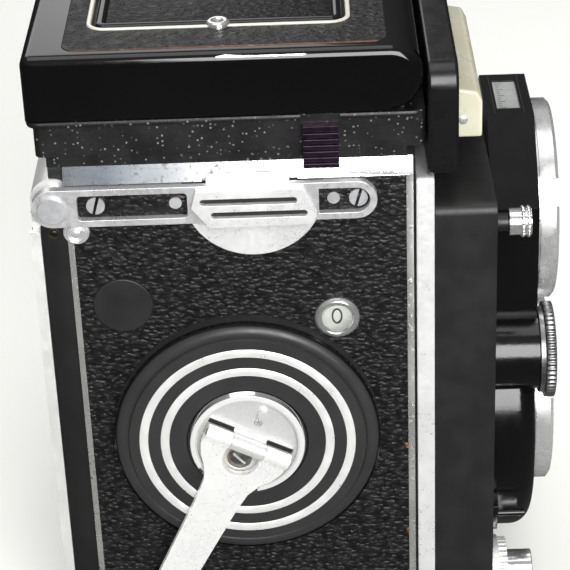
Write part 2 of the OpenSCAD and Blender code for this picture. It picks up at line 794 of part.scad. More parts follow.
module crank_arm() {
    color("#ededeb") {
        difference() {
            at_arm(arm_in_x) linear_extrude(arm_t) difference() {
                arm2d();
                rect(-1, -knuckle_len / 2 - gap, 4, knuckle_len / 2 + gap);
                translate([3.6, 0]) circle(knuckle_len / 2 + gap);
                translate([arm_len, 0]) circle(1.2 + run);
            }
            at_arm(barrel_x) rotate([90, 0, 0]) translate([0, 0, -barrel_len]) cylinder(h = 2 * barrel_len, r = pin_r + run);
        }
        for (s = [-1, 1]) at_arm(barrel_x) rotate([90, 0, 0])
            translate([0, 0, s * (barrel_len + knuckle_len + 2 * gap) / 4]) difference() {
                ear = (barrel_len - knuckle_len - 2 * gap) / 2;
                translate([0, 0, -ear / 2]) cylinder(h = ear, r = barrel_r);
                translate([0, 0, -ear]) cylinder(h = 2 * ear, r = pin_r + run);
            }
    }
}

module crank_hinge_pin() {
    color("#c8b878") at_arm(barrel_x) rotate([90, 0, 0])
        translate([0, 0, -barrel_len / 2]) cylinder(h = barrel_len, r = pin_r);
}

// Grip at the end of the arm, facing the body while the crank is folded
module crank_knob() {
    color("#e2e2e0") {
        at_arm(half_w + 0.8) translate([arm_len, 0, 0]) rotate_extrude() {
            rect(0, 0, knob_r - 0.8, arm_in_x - half_w - 0.8 - gap);
            rect(0, 0.8, knob_r, arm_in_x - half_w - 0.8 - gap);
            translate([knob_r - 0.8, 0.8]) circle(0.8);
        }
        at_arm(arm_in_x - 0.2) translate([arm_len, 0, 0]) cylinder(h = arm_t + 0.5, r = 1.2);
        at_arm(arm_in_x + arm_t + gap) translate([arm_len, 0, 0]) cylinder(h = 0.5, r = 2);
    }
}

// Places a gear of the transport in the case in the crank side wall
module gear_blank(teeth, y, z, turn, bore) {
    translate([gear_x, y, z]) rotate([90, 0, 90]) difference() {
        linear_extrude(gear_t) rotate(turn) gear2d(teeth, gear_module, 0.16);
        if (bore > 0) translate([0, 0, -cut]) cylinder(h = gear_t + 2 * cut, r = bore);
    }
}

module crank_gear() {
    color("#c2a04a") gear_blank(crank_teeth, 0, crank_z, gear_angle, crank_shaft_r + 0.02);
}

module idler_gear() {
    color("#b89a4c") gear_blank(idler_teeth, idler_y, idler_z, gear_angle + 180 / idler_teeth, 1.5 + run);
}

module take_up_gear() {
    color("#c2a04a") {
        gear_blank(take_up_teeth, spool_y, spool_z, gear_angle, 0);
        rod_x(-plate_x + 0.5, gear_x + gap, 1.2, spool_y, spool_z);
        rod_x(gear_x + gear_t - gap, -inner_x + gap, 1.5, spool_y, spool_z);
        rod_x(-inner_x, -inner_x + 2, 1.35, spool_y, spool_z);
    }
}

module take_up_spool() {
    x1 = inner_x - 0.4;
    color("#2e2e30") difference() {
        union() {
            rod_x(-x1, x1, 3.6, spool_y, spool_z);
            for (x = [-x1, x1 - 0.7]) rod_x(x, x + 0.7, spool_flange_r, spool_y, spool_z);
        }
        rod_x(-x1 - cut, x1 + cut, 1.5, spool_y, spool_z);
        box([-20, spool_y - 0.6, spool_z], [20, spool_y + 0.6, spool_z + 5]);
    }
}

// Frame counter dial under the window in the side panel
module counter_dial() {
    color("#f4f4f0") difference() {
        rod_x(-wall_x + 0.3, -wall_x + 1.1, dial_r, dial_y, dial_z);
        rod_x(-wall_x, -pocket_x, 1.2 + run, dial_y, dial_z);
    }
}

module focus_knob() {
    x0 = half_w + 0.5;
    color("#2b2b2d") translate([x0, focus_y, focus_z]) rotate([0, 90, 0]) difference() {
        union() {
            cylinder(h = 6, r = focus_knob_r - 4);
            translate([0, 0, 5.9]) linear_extrude(focus_knob_x - x0 - 5.9 - 1) knurl2d(focus_knob_r, 96, 0.5);
            cylinder(h = focus_knob_x - x0, r = focus_knob_r - 2);
        }
        translate([0, 0, focus_knob_x - x0 - 1]) cylinder(h = 3, r = focus_knob_r - 5);
        translate([0, 0, -cut]) cylinder(h = 12, r = 2);
    }
}

// Spiral of the focusing cam: the radius grows evenly over the turn of the knob
module cam2d() {
    polygon(concat(
        [for (t = [0:6:cam_turn + 12]) let (r = cam_r + focus_travel * min(t / cam_turn, 1.03))
            [r * cos(180 - t), r * sin(180 - t)]],
        [for (t = [cam_turn + 18:6:354]) [cam_r * cos(180 - t), cam_r * sin(180 - t)]]));
}

module focus_shaft() {
    color("#b4b4b0") {
        rod_x(-inner_x - 1.2, half_w + 8, 2, focus_y, focus_z);
        for (s = [-1, 1]) {
            x0 = s * (cam_x + cam_t / 2) - cam_t / 2;
            along_x(x0, x0 + cam_t) translate([focus_y, focus_z]) cam2d();
        }
    }
}

module pull_knob(y, z, tail) {
    color("#cfcfcd") {
        translate([half_w + 0.2, y, z]) rotate([0, 90, 0]) {
            cylinder(h = 2, r = 5);
            translate([0, 0, 1.9]) linear_extrude(6.6) knurl2d(8, 40, 0.4);
            translate([0, 0, 8.4]) cylinder(h = 0.8, r = 6.8);
        }
        rod_x(inner_x - 0.1, half_w + 1, 2, y, z);
        rod_x(inner_x - tail, inner_x, 1.35, y, z);
    }
}

module spool_knob_upper() { pull_knob(spool_y, spool_z, 5); }
module spool_knob_lower() { pull_knob(feed_y, feed_z, 5); }

// Door: rear panel, bottom lip and hinge barrel
module back_door() {
    color("#d8d8d4") difference() {
        union() {
            difference() {
                along_x(-half_w, half_w) {
                    rect(chassis_rear_y + gap, 0, door_rear_y - 1.4, hinge_z);
                    rect(chassis_rear_y + gap, 1.4, door_rear_y, hinge_z - 1);
                    translate([door_rear_y - 1.4, 1.4]) circle(1.4);
                    rect(lip_front_y, 0, chassis_rear_y + cut, lip_t);
                }
                along_x(-half_w + 1.4, half_w - 1.4)
                    rect(door_rear_y - leather_t, 3.4, door_rear_y + cut, hinge_z - 3);
                // Round top corners that clear the side panels
                along_x(-half_w - cut, half_w + cut) difference() {
                    rect(hinge_y - 6, hinge_z - 6, door_rear_y + cut, hinge_z + 6);
                    translate([hinge_y, hinge_z]) circle(barrel_door_r);
                }
            }
            along_x(-half_w + gap, half_w - gap) translate([hinge_y, hinge_z]) circle(3.3);
            along_x(-wall_x + 0.2, wall_x - 0.2) {
                translate([hinge_y, hinge_z]) circle(barrel_door_r);
                rect(chassis_rear_y + gap, hinge_z - 7, hinge_y + barrel_door_r, hinge_z);
            }
            for (x = [-20, 20], z = [25, 65]) rod_y(36.5, chassis_rear_y + 0.5, 3, x, z);
        }
        rod_x(-half_w - cut, half_w + cut, rod_r + run, hinge_y, hinge_z);
        for (x = [-20, 20], z = [25, 65]) rod_y(35, door_rear_y - leather_t - 0.8, 1.5 + run, x, z);
        // Bed of the latch in the lip
        box([-8, lip_front_y - cut, 0.7], [8, 18, 1.9]);
        box([-3, 9, -cut], [3, 16, 1]);
    }
}

module back_leather() {
    color("#202021") along_x(-half_w + 1.4, half_w - 1.4)
        rect(door_rear_y - leather_t, 3.4, door_rear_y, hinge_z - 7.1);
}

module pressure_plate() {
    color("#8d8f90") {
        box([-29, gate_y + 0.4, 13], [29, gate_y + 1.8, 77]);
        for (x = [-20, 20], z = [25, 65]) rod_y(gate_y + 1.7, 38.6, 1.5, x, z);
    }
}

module back_latch() {
    color("#cfcfcb") {
        box([-5.8, lip_front_y + gap, 0.9], [5.8, 15.4, 1.7]);
        box([-2.8, 10.6, 0.2], [2.8, 13.6, 1]);
    }
}

// Frame of the finder hood, which slides onto the top of the body
module hood_base() {
    color("#1d1d1f") {
        difference() {
            union() {
                along_z(hood_base_z, hood_base_z + 2.6) rect(-37.3, -34, 37.3, 37);
                along_z(hood_base_z + 2.5, lid_bottom_z)
                    round_rect(-hood_half_w, hood_front_y, hood_half_w, hood_rear_y, 1.5);
            }
            box([-30.2, -30, hood_base_z - cut], [30.2, 28, lid_bottom_z + cut]);
            for (s = [-1, 1]) box([s * 37 - 2, catch_y - 1.6, 123.6], [s * 37 + 2, catch_y + 1.6, 129.6]);
        }
        // Ears of the lid hinge
        for (s = [-1, 1]) along_x(min(s * ear_in_x, s * ear_out_x), max(s * ear_in_x, s * ear_out_x)) difference() {
            union() {
                translate([lid_hinge_y, lid_hinge_z]) circle(3);
                rect(lid_hinge_y - 3, lid_bottom_z - gap, lid_hinge_y + 3, lid_hinge_z);
            }
            translate([lid_hinge_y, lid_hinge_z]) circle(1.2 + run);
        }
        // Posts and pins of the side walls
        for (s = [-1, 1], y = [side_front_y - gap - post_len, side_rear_y + gap]) {
            box([s * side_hinge_x - 1.1, y, lid_bottom_z - gap],
                [s * side_hinge_x + 1.1, y + post_len, side_hinge_z + wall_barrel_r]);
            rod_y(y - (y > 0 ? 2 : -0.2), y + (y > 0 ? 1 : post_len + 2), wall_pin_r, s * side_hinge_x, side_hinge_z);
        }
        // Posts and pins of the rear wall
        for (s = [-1, 1]) {
            x = s * (rear_half_w + gap + post_len / 2);
            box([x - post_len / 2, rear_hinge_y - 1, lid_bottom_z - gap],
                [x + post_len / 2, rear_hinge_y + 1, rear_hinge_z + wall_barrel_r]);
            rod_x(min(x, x - s * 2.6), max(x, x - s * 2.6), wall_pin_r, rear_hinge_y, rear_hinge_z);
        }
    }
}

module hood_lid() {
    color("#141416") {
        difference() {
            along_x(-half_w, half_w) {
                translate([lid_hinge_y, lid_hinge_z]) circle(lid_front_r);
                rect(lid_hinge_y, lid_bottom_z + run, lid_rear_y, lid_top_z - 2);
                rect(lid_hinge_y, lid_top_z - 2 - cut, lid_rear_y - 2, lid_top_z);
                translate([lid_rear_y - 2, lid_top_z - 2]) circle(2);
            }
            box([-half_w + lid_wall, lid_inner_front_y, lid_bottom_z - cut],
                [half_w - lid_wall, lid_rear_y - lid_wall, lid_under_z]);
            // Slots for the ears of the hinge
            for (s = [-1, 1]) box([s * (ear_in_x + ear_out_x) / 2 - 1, lid_hinge_y - 8, lid_bottom_z - cut],
                [s * (ear_in_x + ear_out_x) / 2 + 1, lid_inner_front_y + cut, lid_under_z]);
            // Bed of the leather and opening of the finder flap
            along_z(lid_top_z - leather_t, lid_top_z + cut) round_rect(-35.6, -30.5, 35.6, 32.5, 3);
            along_z(lid_under_z - cut, lid_top_z + cut) round_rect(-25, -23.8, 25, 28.5, 4);
        }
        for (s = [-1, 1]) {
            rod_x(min(s * 34.2, s * 36.6), max(s * 34.2, s * 36.6), 1.2, lid_hinge_y, lid_hinge_z);
            // Lugs of the magnifier
            difference() {
                box([s * 27.5 - 1, magnifier_hinge_y - 1.8, magnifier_z - 1.6],
                    [s * 27.5 + 1, magnifier_hinge_y + 1.8, lid_under_z + gap]);
                rod_x(s * 27.5 - 2, s * 27.5 + 2, 0.8 + run, magnifier_hinge_y, magnifier_z);
            }
        }
    }
}

module lid_leather() {
    color("#212122") along_z(lid_top_z - leather_t, lid_top_z + 0.1) difference() {
        round_rect(-35.6, -30.5, 35.6, 32.5, 3);
        round_rect(-25, -23.8, 25, 28.5, 4);
        translate([-23.6, 2.3]) circle(2.4 + gap);
    }
}

// Frame and plate of the direct finder in the lid
module finder_flap() {
    color("#d9d9d6") difference() {
        union() {
            along_z(lid_under_z + gap, lid_top_z + 0.5) round_rect(-25 + gap, -23.8 + gap, 25 - gap, 28.5 - gap, 3.9);
            translate([-23.6, 2.3, lid_top_z]) cylinder(h = 1.2, r = 2.4);
        }
        along_z(lid_top_z, lid_top_z + 3) difference() {
            round_rect(-24, -22.8, 24, 27.5, 3.2);
            round_rect(-20.5, -21.1, 20.5, 25.5, 2);
            translate([-23.6, 2.3]) circle(2.4);
        }
        along_z(lid_top_z - 0.1, lid_top_z + 3) round_rect(-18.6, -19.3, 18.6, 23.7, 1);
        translate([-23.6, 2.3, lid_top_z + 0.4]) cylinder(h = 2, r = 0.7);
    }
}

// Outline of a folding side wall: x along its hinge, y away from it
module side_wall2d() {
    slant = 18;
    polygon([[side_front_y, 0], [side_rear_y, 0], [side_rear_y - slant, slant], [-4, side_wall_h],
        [side_front_y + 7, side_wall_h], [side_front_y, side_wall_h - 6.5]]);
}

// Folding side wall on the crank side, lying flat towards the middle
module side_wall() {
    color("#1f1f21") difference() {
        union() {
            translate([-side_hinge_x, 0, side_hinge_z - wall_t / 2]) linear_extrude(wall_t) rotate(90) mirror([0, 1, 0])
                side_wall2d();
            rod_y(side_front_y, side_rear_y, wall_barrel_r, -side_hinge_x, side_hinge_z);
        }
        rod_y(side_front_y - cut, side_rear_y + cut, wall_pin_r + run, -side_hinge_x, side_hinge_z);
    }
}

module hood_wall_right() { side_wall(); }
module hood_wall_left() { mirror([1, 0, 0]) side_wall(); }

module hood_wall_rear() {
    color("#1f1f21") difference() {
        union() {
            box([-rear_half_w, rear_hinge_y - rear_wall_h, rear_hinge_z - wall_t / 2],
                [rear_half_w, rear_hinge_y, rear_hinge_z + wall_t / 2]);
            rod_x(-rear_half_w, rear_half_w, wall_barrel_r, rear_hinge_y, rear_hinge_z);
        }
        rod_x(-rear_half_w - cut, rear_half_w + cut, wall_pin_r + run, rear_hinge_y, rear_hinge_z);
    }
}

// Magnifier on its arm under the lid
module magnifier() {
    lens_y = magnifier_hinge_y + magnifier_reach;
    color("#9fb2bd") {
        difference() {
            union() {
                translate([0, lens_y, magnifier_z - 1.2]) cylinder(h = 2.4, r = magnifier_r);
                for (s = [-1, 1]) box([s * 9 - 1.5, magnifier_hinge_y, magnifier_z - 0.5],
                    [s * 9 + 1.5, lens_y - 6, magnifier_z + 0.5]);
                rod_x(-26.3, 26.3, 1, magnifier_hinge_y, magnifier_z);
            }
            // Hollow face of the lens
            translate([0, lens_y, magnifier_z + 0.6]) cylinder(h = 2, r = magnifier_r - 1.2);
        }
        rod_x(-28.4, 28.4, 0.8, magnifier_hinge_y, magnifier_z);
    }
}

// Sliding catch that holds the hood on the body
module hood_catch() {
    color("#2a2430") difference() {
        union() {
            box([-hood_half_w - 1.6, catch_y - 3.5, 121], [-hood_half_w - 0.1, catch_y + 3.5, 130]);
            box([-hood_half_w - 0.2, catch_y - 1.4, 123.8], [-hood_half_w + 1.6, catch_y + 1.4, 127.4]);
        }
        for (z = [121.8:1.3:129.6]) along_y(catch_y - 5, catch_y + 5)
            polygon([[-hood_half_w - 2.2, z - 0.1], [-hood_half_w - 1, z + 0.35], [-hood_half_w - 2.2, z + 0.8]]);
    }
}

module hood_catch_right() { hood_catch(); }
module hood_catch_left() { mirror([1, 0, 0]) hood_catch(); }

chassis();
crank_side_cover();
crank_side_leather();
knob_side_cover();
knob_side_leather();
front_frame();
tripod_socket();
reflex_mirror();
focusing_screen();
crank_flange();
counter_bezel();
counter_window();
spool_bearing_cap();
strap_bars();
strap_lugs();
strap_wear_plates();
screws_and_pins();
meter_housing();
meter_cell();
meter_diffuser();
front_standard();
lens_housing();
viewing_bayonet();
taking_bayonet();
viewing_lens();
taking_lens();
shutter_blades();
aperture_wheel();
speed_wheel();
flash_socket_clamp();
self_timer_lever();
release_button();
release_collar();
crank_hub();
crank_arm();
crank_hinge_pin();
crank_knob();
crank_gear();
idler_gear();
take_up_gear();
take_up_spool();
counter_dial();
focus_knob();
focus_shaft();
back_door();
back_leather();
pressure_plate();
back_latch();
hood_base();
hood_lid();
lid_leather();
finder_flap();
hood_wall_left();
hood_wall_right();
hood_wall_rear();
magnifier();
hood_catch_right();
hood_catch_left();
spool_knob_upper();
spool_knob_lower();
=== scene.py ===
"""Looks of the twin lens reflex camera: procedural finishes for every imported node, and the finer pieces
that sit on them. Drawing helpers take millimetres in the frame of the part and store metres."""
import json
import math
import random

import bmesh
import bpy
from mathutils import Matrix, Vector

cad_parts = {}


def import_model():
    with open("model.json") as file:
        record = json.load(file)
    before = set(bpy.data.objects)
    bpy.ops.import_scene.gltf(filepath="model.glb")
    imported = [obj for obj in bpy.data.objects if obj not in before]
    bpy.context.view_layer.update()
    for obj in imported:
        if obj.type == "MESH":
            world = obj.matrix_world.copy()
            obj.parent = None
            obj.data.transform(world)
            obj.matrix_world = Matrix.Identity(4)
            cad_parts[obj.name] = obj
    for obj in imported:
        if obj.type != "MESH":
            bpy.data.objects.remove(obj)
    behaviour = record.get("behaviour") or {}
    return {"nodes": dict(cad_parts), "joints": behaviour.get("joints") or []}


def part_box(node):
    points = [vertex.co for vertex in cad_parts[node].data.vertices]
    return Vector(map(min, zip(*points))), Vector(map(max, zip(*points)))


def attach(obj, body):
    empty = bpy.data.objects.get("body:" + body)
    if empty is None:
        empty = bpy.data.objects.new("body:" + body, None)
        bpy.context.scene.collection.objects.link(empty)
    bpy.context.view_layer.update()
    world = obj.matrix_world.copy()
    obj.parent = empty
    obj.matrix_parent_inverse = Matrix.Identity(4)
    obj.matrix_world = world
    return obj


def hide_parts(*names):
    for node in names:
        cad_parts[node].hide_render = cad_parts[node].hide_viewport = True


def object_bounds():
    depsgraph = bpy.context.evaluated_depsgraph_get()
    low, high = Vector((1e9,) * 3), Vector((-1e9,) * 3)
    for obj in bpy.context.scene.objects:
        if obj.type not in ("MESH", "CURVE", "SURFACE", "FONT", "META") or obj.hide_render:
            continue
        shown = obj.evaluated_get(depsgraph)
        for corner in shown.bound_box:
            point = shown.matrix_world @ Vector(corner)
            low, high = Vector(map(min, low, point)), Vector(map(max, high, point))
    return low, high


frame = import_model()
cad_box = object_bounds()
random.seed(7)
MM = 0.001
TURN = 2 * math.pi


# ---------------- places taken from the frame
def span(node):
    """Lowest and highest corner of a node, in millimetres."""
    low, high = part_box(node)
    return low / MM, high / MM


def joint_place(name):
    """Pivot of a joint, in millimetres."""
    return Vector(next(j for j in frame["joints"] if j["name"] == name)["pos_m"]) / MM


CRANK = joint_place("crank_turn")
GRIP = joint_place("grip_spin")
FOCUS = joint_place("focus_turn")
HINGE = joint_place("back_open")
CLAMP = joint_place("flash_clamp_turn")
LOW_VIEW, HIGH_VIEW = span("viewing_bayonet")
LOW_TAKE, HIGH_TAKE = span("taking_bayonet")
VIEWING_Z = (LOW_VIEW.z + HIGH_VIEW.z) / 2
TAKING_Z = (LOW_TAKE.z + HIGH_TAKE.z) / 2
SKIN_X = -span("crank_side_leather")[0].x
FLANGE_X = -span("crank_flange")[0].x
ARM = GRIP - CRANK
ARM.x = 0
ARM.normalize()
ARM_SIDE = Vector((-1, 0, 0)).cross(ARM)
STUD_Y, STUD_Z = 32.1, 108.3
RING_Y, RING_Z = 36.7, 107.8
LID_EDGE = 2.1


# ---------------- materials
class Look:
    """A principled material with short calls for its procedural nodes. Coordinates are metres of the part."""

    def __init__(self, name, color, metallic=0.0, roughness=0.4, **inputs):
        self.material = bpy.data.materials.new(name)
        self.material.use_nodes = True
        self.tree = self.material.node_tree
        self.shader = self.tree.nodes["Principled BSDF"]
        self.place = self.add("ShaderNodeTexCoord").outputs["Object"]
        self.set("Base Color", color)
        self.set("Metallic", metallic)
        self.set("Roughness", roughness)
        for key, value in inputs.items():
            self.set(key.replace("_", " "), value)

    def add(self, kind, **settings):
        node = self.tree.nodes.new(kind)
        for key, value in settings.items():
            setattr(node, key, value)
        return node

    def put(self, socket, value):
        if isinstance(value, bpy.types.NodeSocket):
            self.tree.links.new(value, socket)
        elif isinstance(value, (tuple, list)) and len(value) == 3 and socket.type == "RGBA":
            socket.default_value = (*value, 1)
        else:
            socket.default_value = value

    def set(self, name, value):
        self.put(self.shader.inputs[name], value)

    def math(self, operation, a, b=0.0):
        node = self.add("ShaderNodeMath", operation=operation)
        self.put(node.inputs[0], a)
        self.put(node.inputs[1], b)
        return node.outputs[0]

    def noise(self, scale, detail=3.0, roughness=0.55, stretch=None):
        node = self.add("ShaderNodeTexNoise")
        self.put(node.inputs["Vector"], self.stretched(stretch))
        self.put(node.inputs["Scale"], float(scale))
        self.put(node.inputs["Detail"], detail)
        self.put(node.inputs["Roughness"], roughness)
        return node.outputs["Fac"]

    def stretched(self, stretch):
        if stretch is None:
            return self.place
        node = self.add("ShaderNodeVectorMath", operation="MULTIPLY")
        self.put(node.inputs[0], self.place)
        node.inputs[1].default_value = stretch
        return node.outputs[0]

    def cells(self, scale, feature="F1", wobble=0.0, output="Distance", stretch=None):
        node = self.add("ShaderNodeTexVoronoi", feature=feature)
        vector = self.stretched(stretch)
        if wobble:
            shift = self.add("ShaderNodeVectorMath", operation="SCALE")
            warp = self.add("ShaderNodeTexNoise")
            self.put(warp.inputs["Vector"], self.place)
            self.put(warp.inputs["Scale"], float(scale) * 0.6)
            self.put(shift.inputs[0], warp.outputs["Color"])
            self.put(shift.inputs["Scale"], wobble / scale)
            total = self.add("ShaderNodeVectorMath", operation="ADD")
            self.put(total.inputs[0], vector)
            self.put(total.inputs[1], shift.outputs[0])
            vector = total.outputs[0]
        self.put(node.inputs["Vector"], vector)
        self.put(node.inputs["Scale"], float(scale))
        return node.outputs[output]

    def fit(self, value, low, high, out_low=0.0, out_high=1.0, smooth=True):
        node = self.add("ShaderNodeMapRange", interpolation_type="SMOOTHSTEP" if smooth else "LINEAR")
        for socket, item in zip(node.inputs, (value, low, high, out_low, out_high)):
            self.put(socket, item)
        return node.outputs[0]

    def mix(self, factor, a, b):
        node = self.add("ShaderNodeMix", data_type="RGBA")
        self.put(node.inputs[0], factor)
        self.put(node.inputs[6], a)
        self.put(node.inputs[7], b)
        return node.outputs[2]

    def parts(self):
        node = self.add("ShaderNodeSeparateXYZ")
        self.put(node.inputs[0], self.place)
        return node.outputs

    def radius(self, centre, axis):
        """Distance from an axis through a point given in millimetres, in millimetres."""
        shift = self.add("ShaderNodeVectorMath", operation="SUBTRACT")
        self.put(shift.inputs[0], self.place)
        shift.inputs[1].default_value = centre * MM
        flat = self.add("ShaderNodeVectorMath", operation="MULTIPLY")
        self.put(flat.inputs[0], shift.outputs[0])
        flat.inputs[1].default_value = [0 if i == axis else 1 / MM for i in range(3)]
        length = self.add("ShaderNodeVectorMath", operation="LENGTH")
        self.put(length.inputs[0], flat.outputs[0])
        return length.outputs["Value"]

    def edge(self, low, high, axes):
        """Distance in millimetres to the nearest side of a box."""
        parts = self.parts()
        nearest = None
        for axis in axes:
            value = self.math("MULTIPLY", parts[axis], 1 / MM)
            for side in (self.math("SUBTRACT", value, low[axis]), self.math("SUBTRACT", high[axis], value)):
                nearest = side if nearest is None else self.math("MINIMUM", nearest, side)
        return nearest

    def bump(self, height, distance, strength=1.0):
        node = self.add("ShaderNodeBump")
        self.put(node.inputs["Strength"], strength)
        self.put(node.inputs["Distance"], distance * MM)
        self.put(node.inputs["Height"], height)
        self.set("Normal", node.outputs[0])

    def specks(self, scale, share):
        """Mask of scattered dust specks: cells whose random value is over 1 - share, near their middle."""
        chosen = self.fit(self.cells(scale, output="Color"), 1 - share, 1 - share * 0.5)
        middle = self.fit(self.cells(scale), 0.32, 0.18)
        return self.math("MULTIPLY", chosen, middle)


def leather(name, box=None, axes=(1, 2), wear=1.0, hem=0.0):
    """Black creased leatherette with painted shade in its creases, dust, and bare orange board showing in
    places along its edges.
    """
    drawn_out = (1, 0.55, 1)
    look = Look(name, (0.014, 0.014, 0.015), roughness=0.5, Specular_IOR_Level=0.4)
    coarse = look.cells(1250, "SMOOTH_F1", wobble=1.2, stretch=drawn_out)
    fine = look.cells(2300, "SMOOTH_F1", wobble=0.8, stretch=drawn_out)
    swell = look.noise(420, 3.0, stretch=drawn_out)
    pebble = look.fit(coarse, 0.05, 0.6, 1.0, 0.0)
    height = look.math("ADD", look.math("MULTIPLY", pebble, 0.7), look.math("MULTIPLY", fine, -0.3))
    height = look.math("ADD", height, look.math("MULTIPLY", swell, 0.8))
    look.bump(height, 0.3, 0.95)
    # Painted shade: the colour follows the grain's height, darkest in the creases between the raised pebbles.
    color = look.mix(pebble, (0.003, 0.003, 0.0032), (0.0155, 0.0155, 0.0158))
    dust = look.specks(1300, 0.03)
    color = look.mix(look.math("MULTIPLY", dust, 0.35), color, (0.3, 0.3, 0.29))
    if box:
        low, high = box
        rim = look.fit(look.edge(low, high, axes), 0.15, 1.1, 1.0, 0.0)
        patch = look.fit(look.noise(130, 5.0, 0.65), 0.63, 0.68)
        bare = look.math("MULTIPLY", look.math("MULTIPLY", rim, patch), wear)
        color = look.mix(bare, color, (0.34, 0.13, 0.02))
    if hem:
        side = look.math("SUBTRACT", look.math("MULTIPLY", look.parts()[0], 1 / MM), low.x)
        near, broken = look.fit(side, 0.12, 0.4, 1.0, 0.0), look.fit(look.noise(28, 2.0), 0.4, 0.52)
        strip = look.math("MULTIPLY", near, broken)
        color = look.mix(look.math("MULTIPLY", strip, hem), color, (0.13, 0.045, 0.022))
    look.set("Base Color", color)
    look.set("Roughness", look.fit(look.noise(420), 0.3, 0.7, 0.36, 0.56))
    return look.material


def enamel(name, color, rough, grain=0.0, grain_scale=1500, dust=0.02, dust_scale=700):
    """Black paint from gloss to crackle: colour drift, dust and a faint skin."""
    look = Look(name, color, roughness=rough)
    drift = look.noise(60, 3.0)
    tone = look.mix(drift, [c * 0.7 for c in color], [c * 1.35 for c in color])
    speck = look.math("MULTIPLY", look.specks(dust_scale, dust), 0.4)
    look.set("Base Color", look.mix(speck, tone, (0.3, 0.3, 0.29)))
    look.set("Roughness", look.fit(look.noise(180, 4.0), 0.3, 0.7, rough * 0.82, rough * 1.2))
    skin = look.noise(90, 2.0) if not grain else look.noise(grain_scale, 4.0)
    look.bump(skin, max(grain, 0.03), 0.5 if grain else 0.12)
    return look.material


def plating(name, color, rough, pits=0.0, metallic=1.0):
    """Chrome or bare metal: fine scratches, blotchy sheen and, when worn, dark pits."""
    look = Look(name, color, metallic=metallic, roughness=rough)
    lines = look.noise(900, 4.0)
    blotch = look.noise(70, 5.0, 0.65)
    sheen = look.math("ADD", look.math("MULTIPLY", lines, 0.5), look.math("MULTIPLY", blotch, 0.5))
    look.set("Roughness", look.fit(sheen, 0.35, 0.65, rough * 0.7, rough * 1.45))
    tone = look.mix(blotch, [c * 0.88 for c in color], [min(1, c * 1.04) for c in color])
    if pits:
        spots = look.fit(look.noise(820, 6.0, 0.75), 0.58, 0.68)
        area = look.fit(look.noise(110, 3.0), 0.42, 0.62, 0.25, 1.0)
        worn = look.math("MULTIPLY", look.math("MULTIPLY", spots, area), pits)
        tone = look.mix(worn, tone, (0.10, 0.095, 0.085))
        look.bump(worn, 0.05, 0.5)
    else:
        look.bump(lines, 0.003, 0.15)
    look.set("Base Color", tone)
    return look.material


def turned(name, color, rough, centre, axis, metallic=1.0):
    """Metal with fine rings left by a lathe round a given axis."""
    pitch = 0.22
    look = Look(name, color, metallic=metallic, roughness=rough)
    rings = look.math("SINE", look.math("MULTIPLY", look.radius(centre, axis), TURN / pitch))
    jitter = look.noise(300, 3.0)
    look.bump(rings, 0.006, 0.35)
    look.set("Roughness", look.fit(jitter, 0.3, 0.7, rough * 0.75, rough * 1.4))
    look.set("Base Color", look.mix(look.noise(80, 3.0), [c * 0.9 for c in color], color))
    return look.material


def hub_metal():
    """Crank hub: polished outside, and a satin frosted plate inside the rim."""
    look = Look("hub_metal", (0.8, 0.8, 0.79), metallic=1.0, roughness=0.12)
    distance = look.radius(CRANK, 0)
    plate = look.fit(distance, 10.8, 10.95, 1.0, 0.0)
    satin = look.fit(distance, 11.85, 12.0, 1.0, 0.0)
    grain = look.noise(2600, 2.0)
    look.set("Roughness", look.math("ADD", look.math("MULTIPLY", satin, 0.3), 0.1))
    look.set("Metallic", look.fit(satin, 0.0, 1.0, 1.0, 0.6, smooth=False))
    frosted = look.mix(grain, (0.62, 0.62, 0.61), (0.8, 0.8, 0.79))
    inside = look.mix(plate, (0.93, 0.93, 0.92), frosted)
    look.set("Base Color", look.mix(satin, (0.82, 0.82, 0.81), inside))
    look.bump(look.math("MULTIPLY", grain, plate), 0.012, 0.4)
    return look.material


def panel_chrome():
    """Worn chrome of the side panels, whose top slope is painted grey as a dark reflection, darkest at the
    rear and clearing to the front, and speckled.
    """
    look = Look("worn_chrome_painted_reflection", (0.8, 0.8, 0.77), metallic=0.85, roughness=0.24)
    speckle = look.fit(look.noise(820, 6.0, 0.75), 0.56, 0.66)
    area = look.fit(look.noise(110, 3.0), 0.42, 0.62, 0.25, 1.0)
    y, z = (look.math("MULTIPLY", look.parts()[k], 1 / MM) for k in (1, 2))
    # Painted reflection: the top slope is darkened to blue-grey, most at the rear and fading towards the
    # front.
    slope = look.fit(z, 116.6, 117.4)
    rear = look.fit(look.math("ADD", y, look.math("MULTIPLY", look.noise(60, 3.0), 14)), -14, 32)
    shade = look.math("MULTIPLY", slope, look.fit(rear, 0.0, 1.0, 0.25, 1.0, smooth=False))
    tone = look.mix(shade, (0.8, 0.8, 0.77), (0.075, 0.083, 0.093))
    tone = look.mix(look.math("MULTIPLY", speckle, area), tone, (0.10, 0.095, 0.085))
    look.set("Base Color", tone)
    look.set("Roughness", look.fit(look.noise(70, 5.0, 0.65), 0.35, 0.65, 0.17, 0.34))
    look.bump(speckle, 0.04, 0.5)
    return look.material


def lens_glass(name, film):
    """Coated front glass: dark, clear and coloured by a thin film."""
    look = Look(name, (0.05, 0.06, 0.09), roughness=0.02, Transmission_Weight=0.55, IOR=1.6,
                Coat_Weight=1.0, Coat_Roughness=0.01)
    facing = look.add("ShaderNodeLayerWeight")
    facing.inputs["Blend"].default_value = 0.35
    look.set("Coat Tint", look.mix(facing.outputs["Facing"], film, (0.9, 0.9, 0.95)))
    dust = look.specks(500, 0.02)
    look.set("Base Color", look.mix(look.math("MULTIPLY", dust, 0.35), (0.03, 0.035, 0.06), (0.7, 0.7, 0.7)))
    look.set("Thin Film Thickness", 420.0)
    look.set("Thin Film IOR", 1.38)
    return look.material


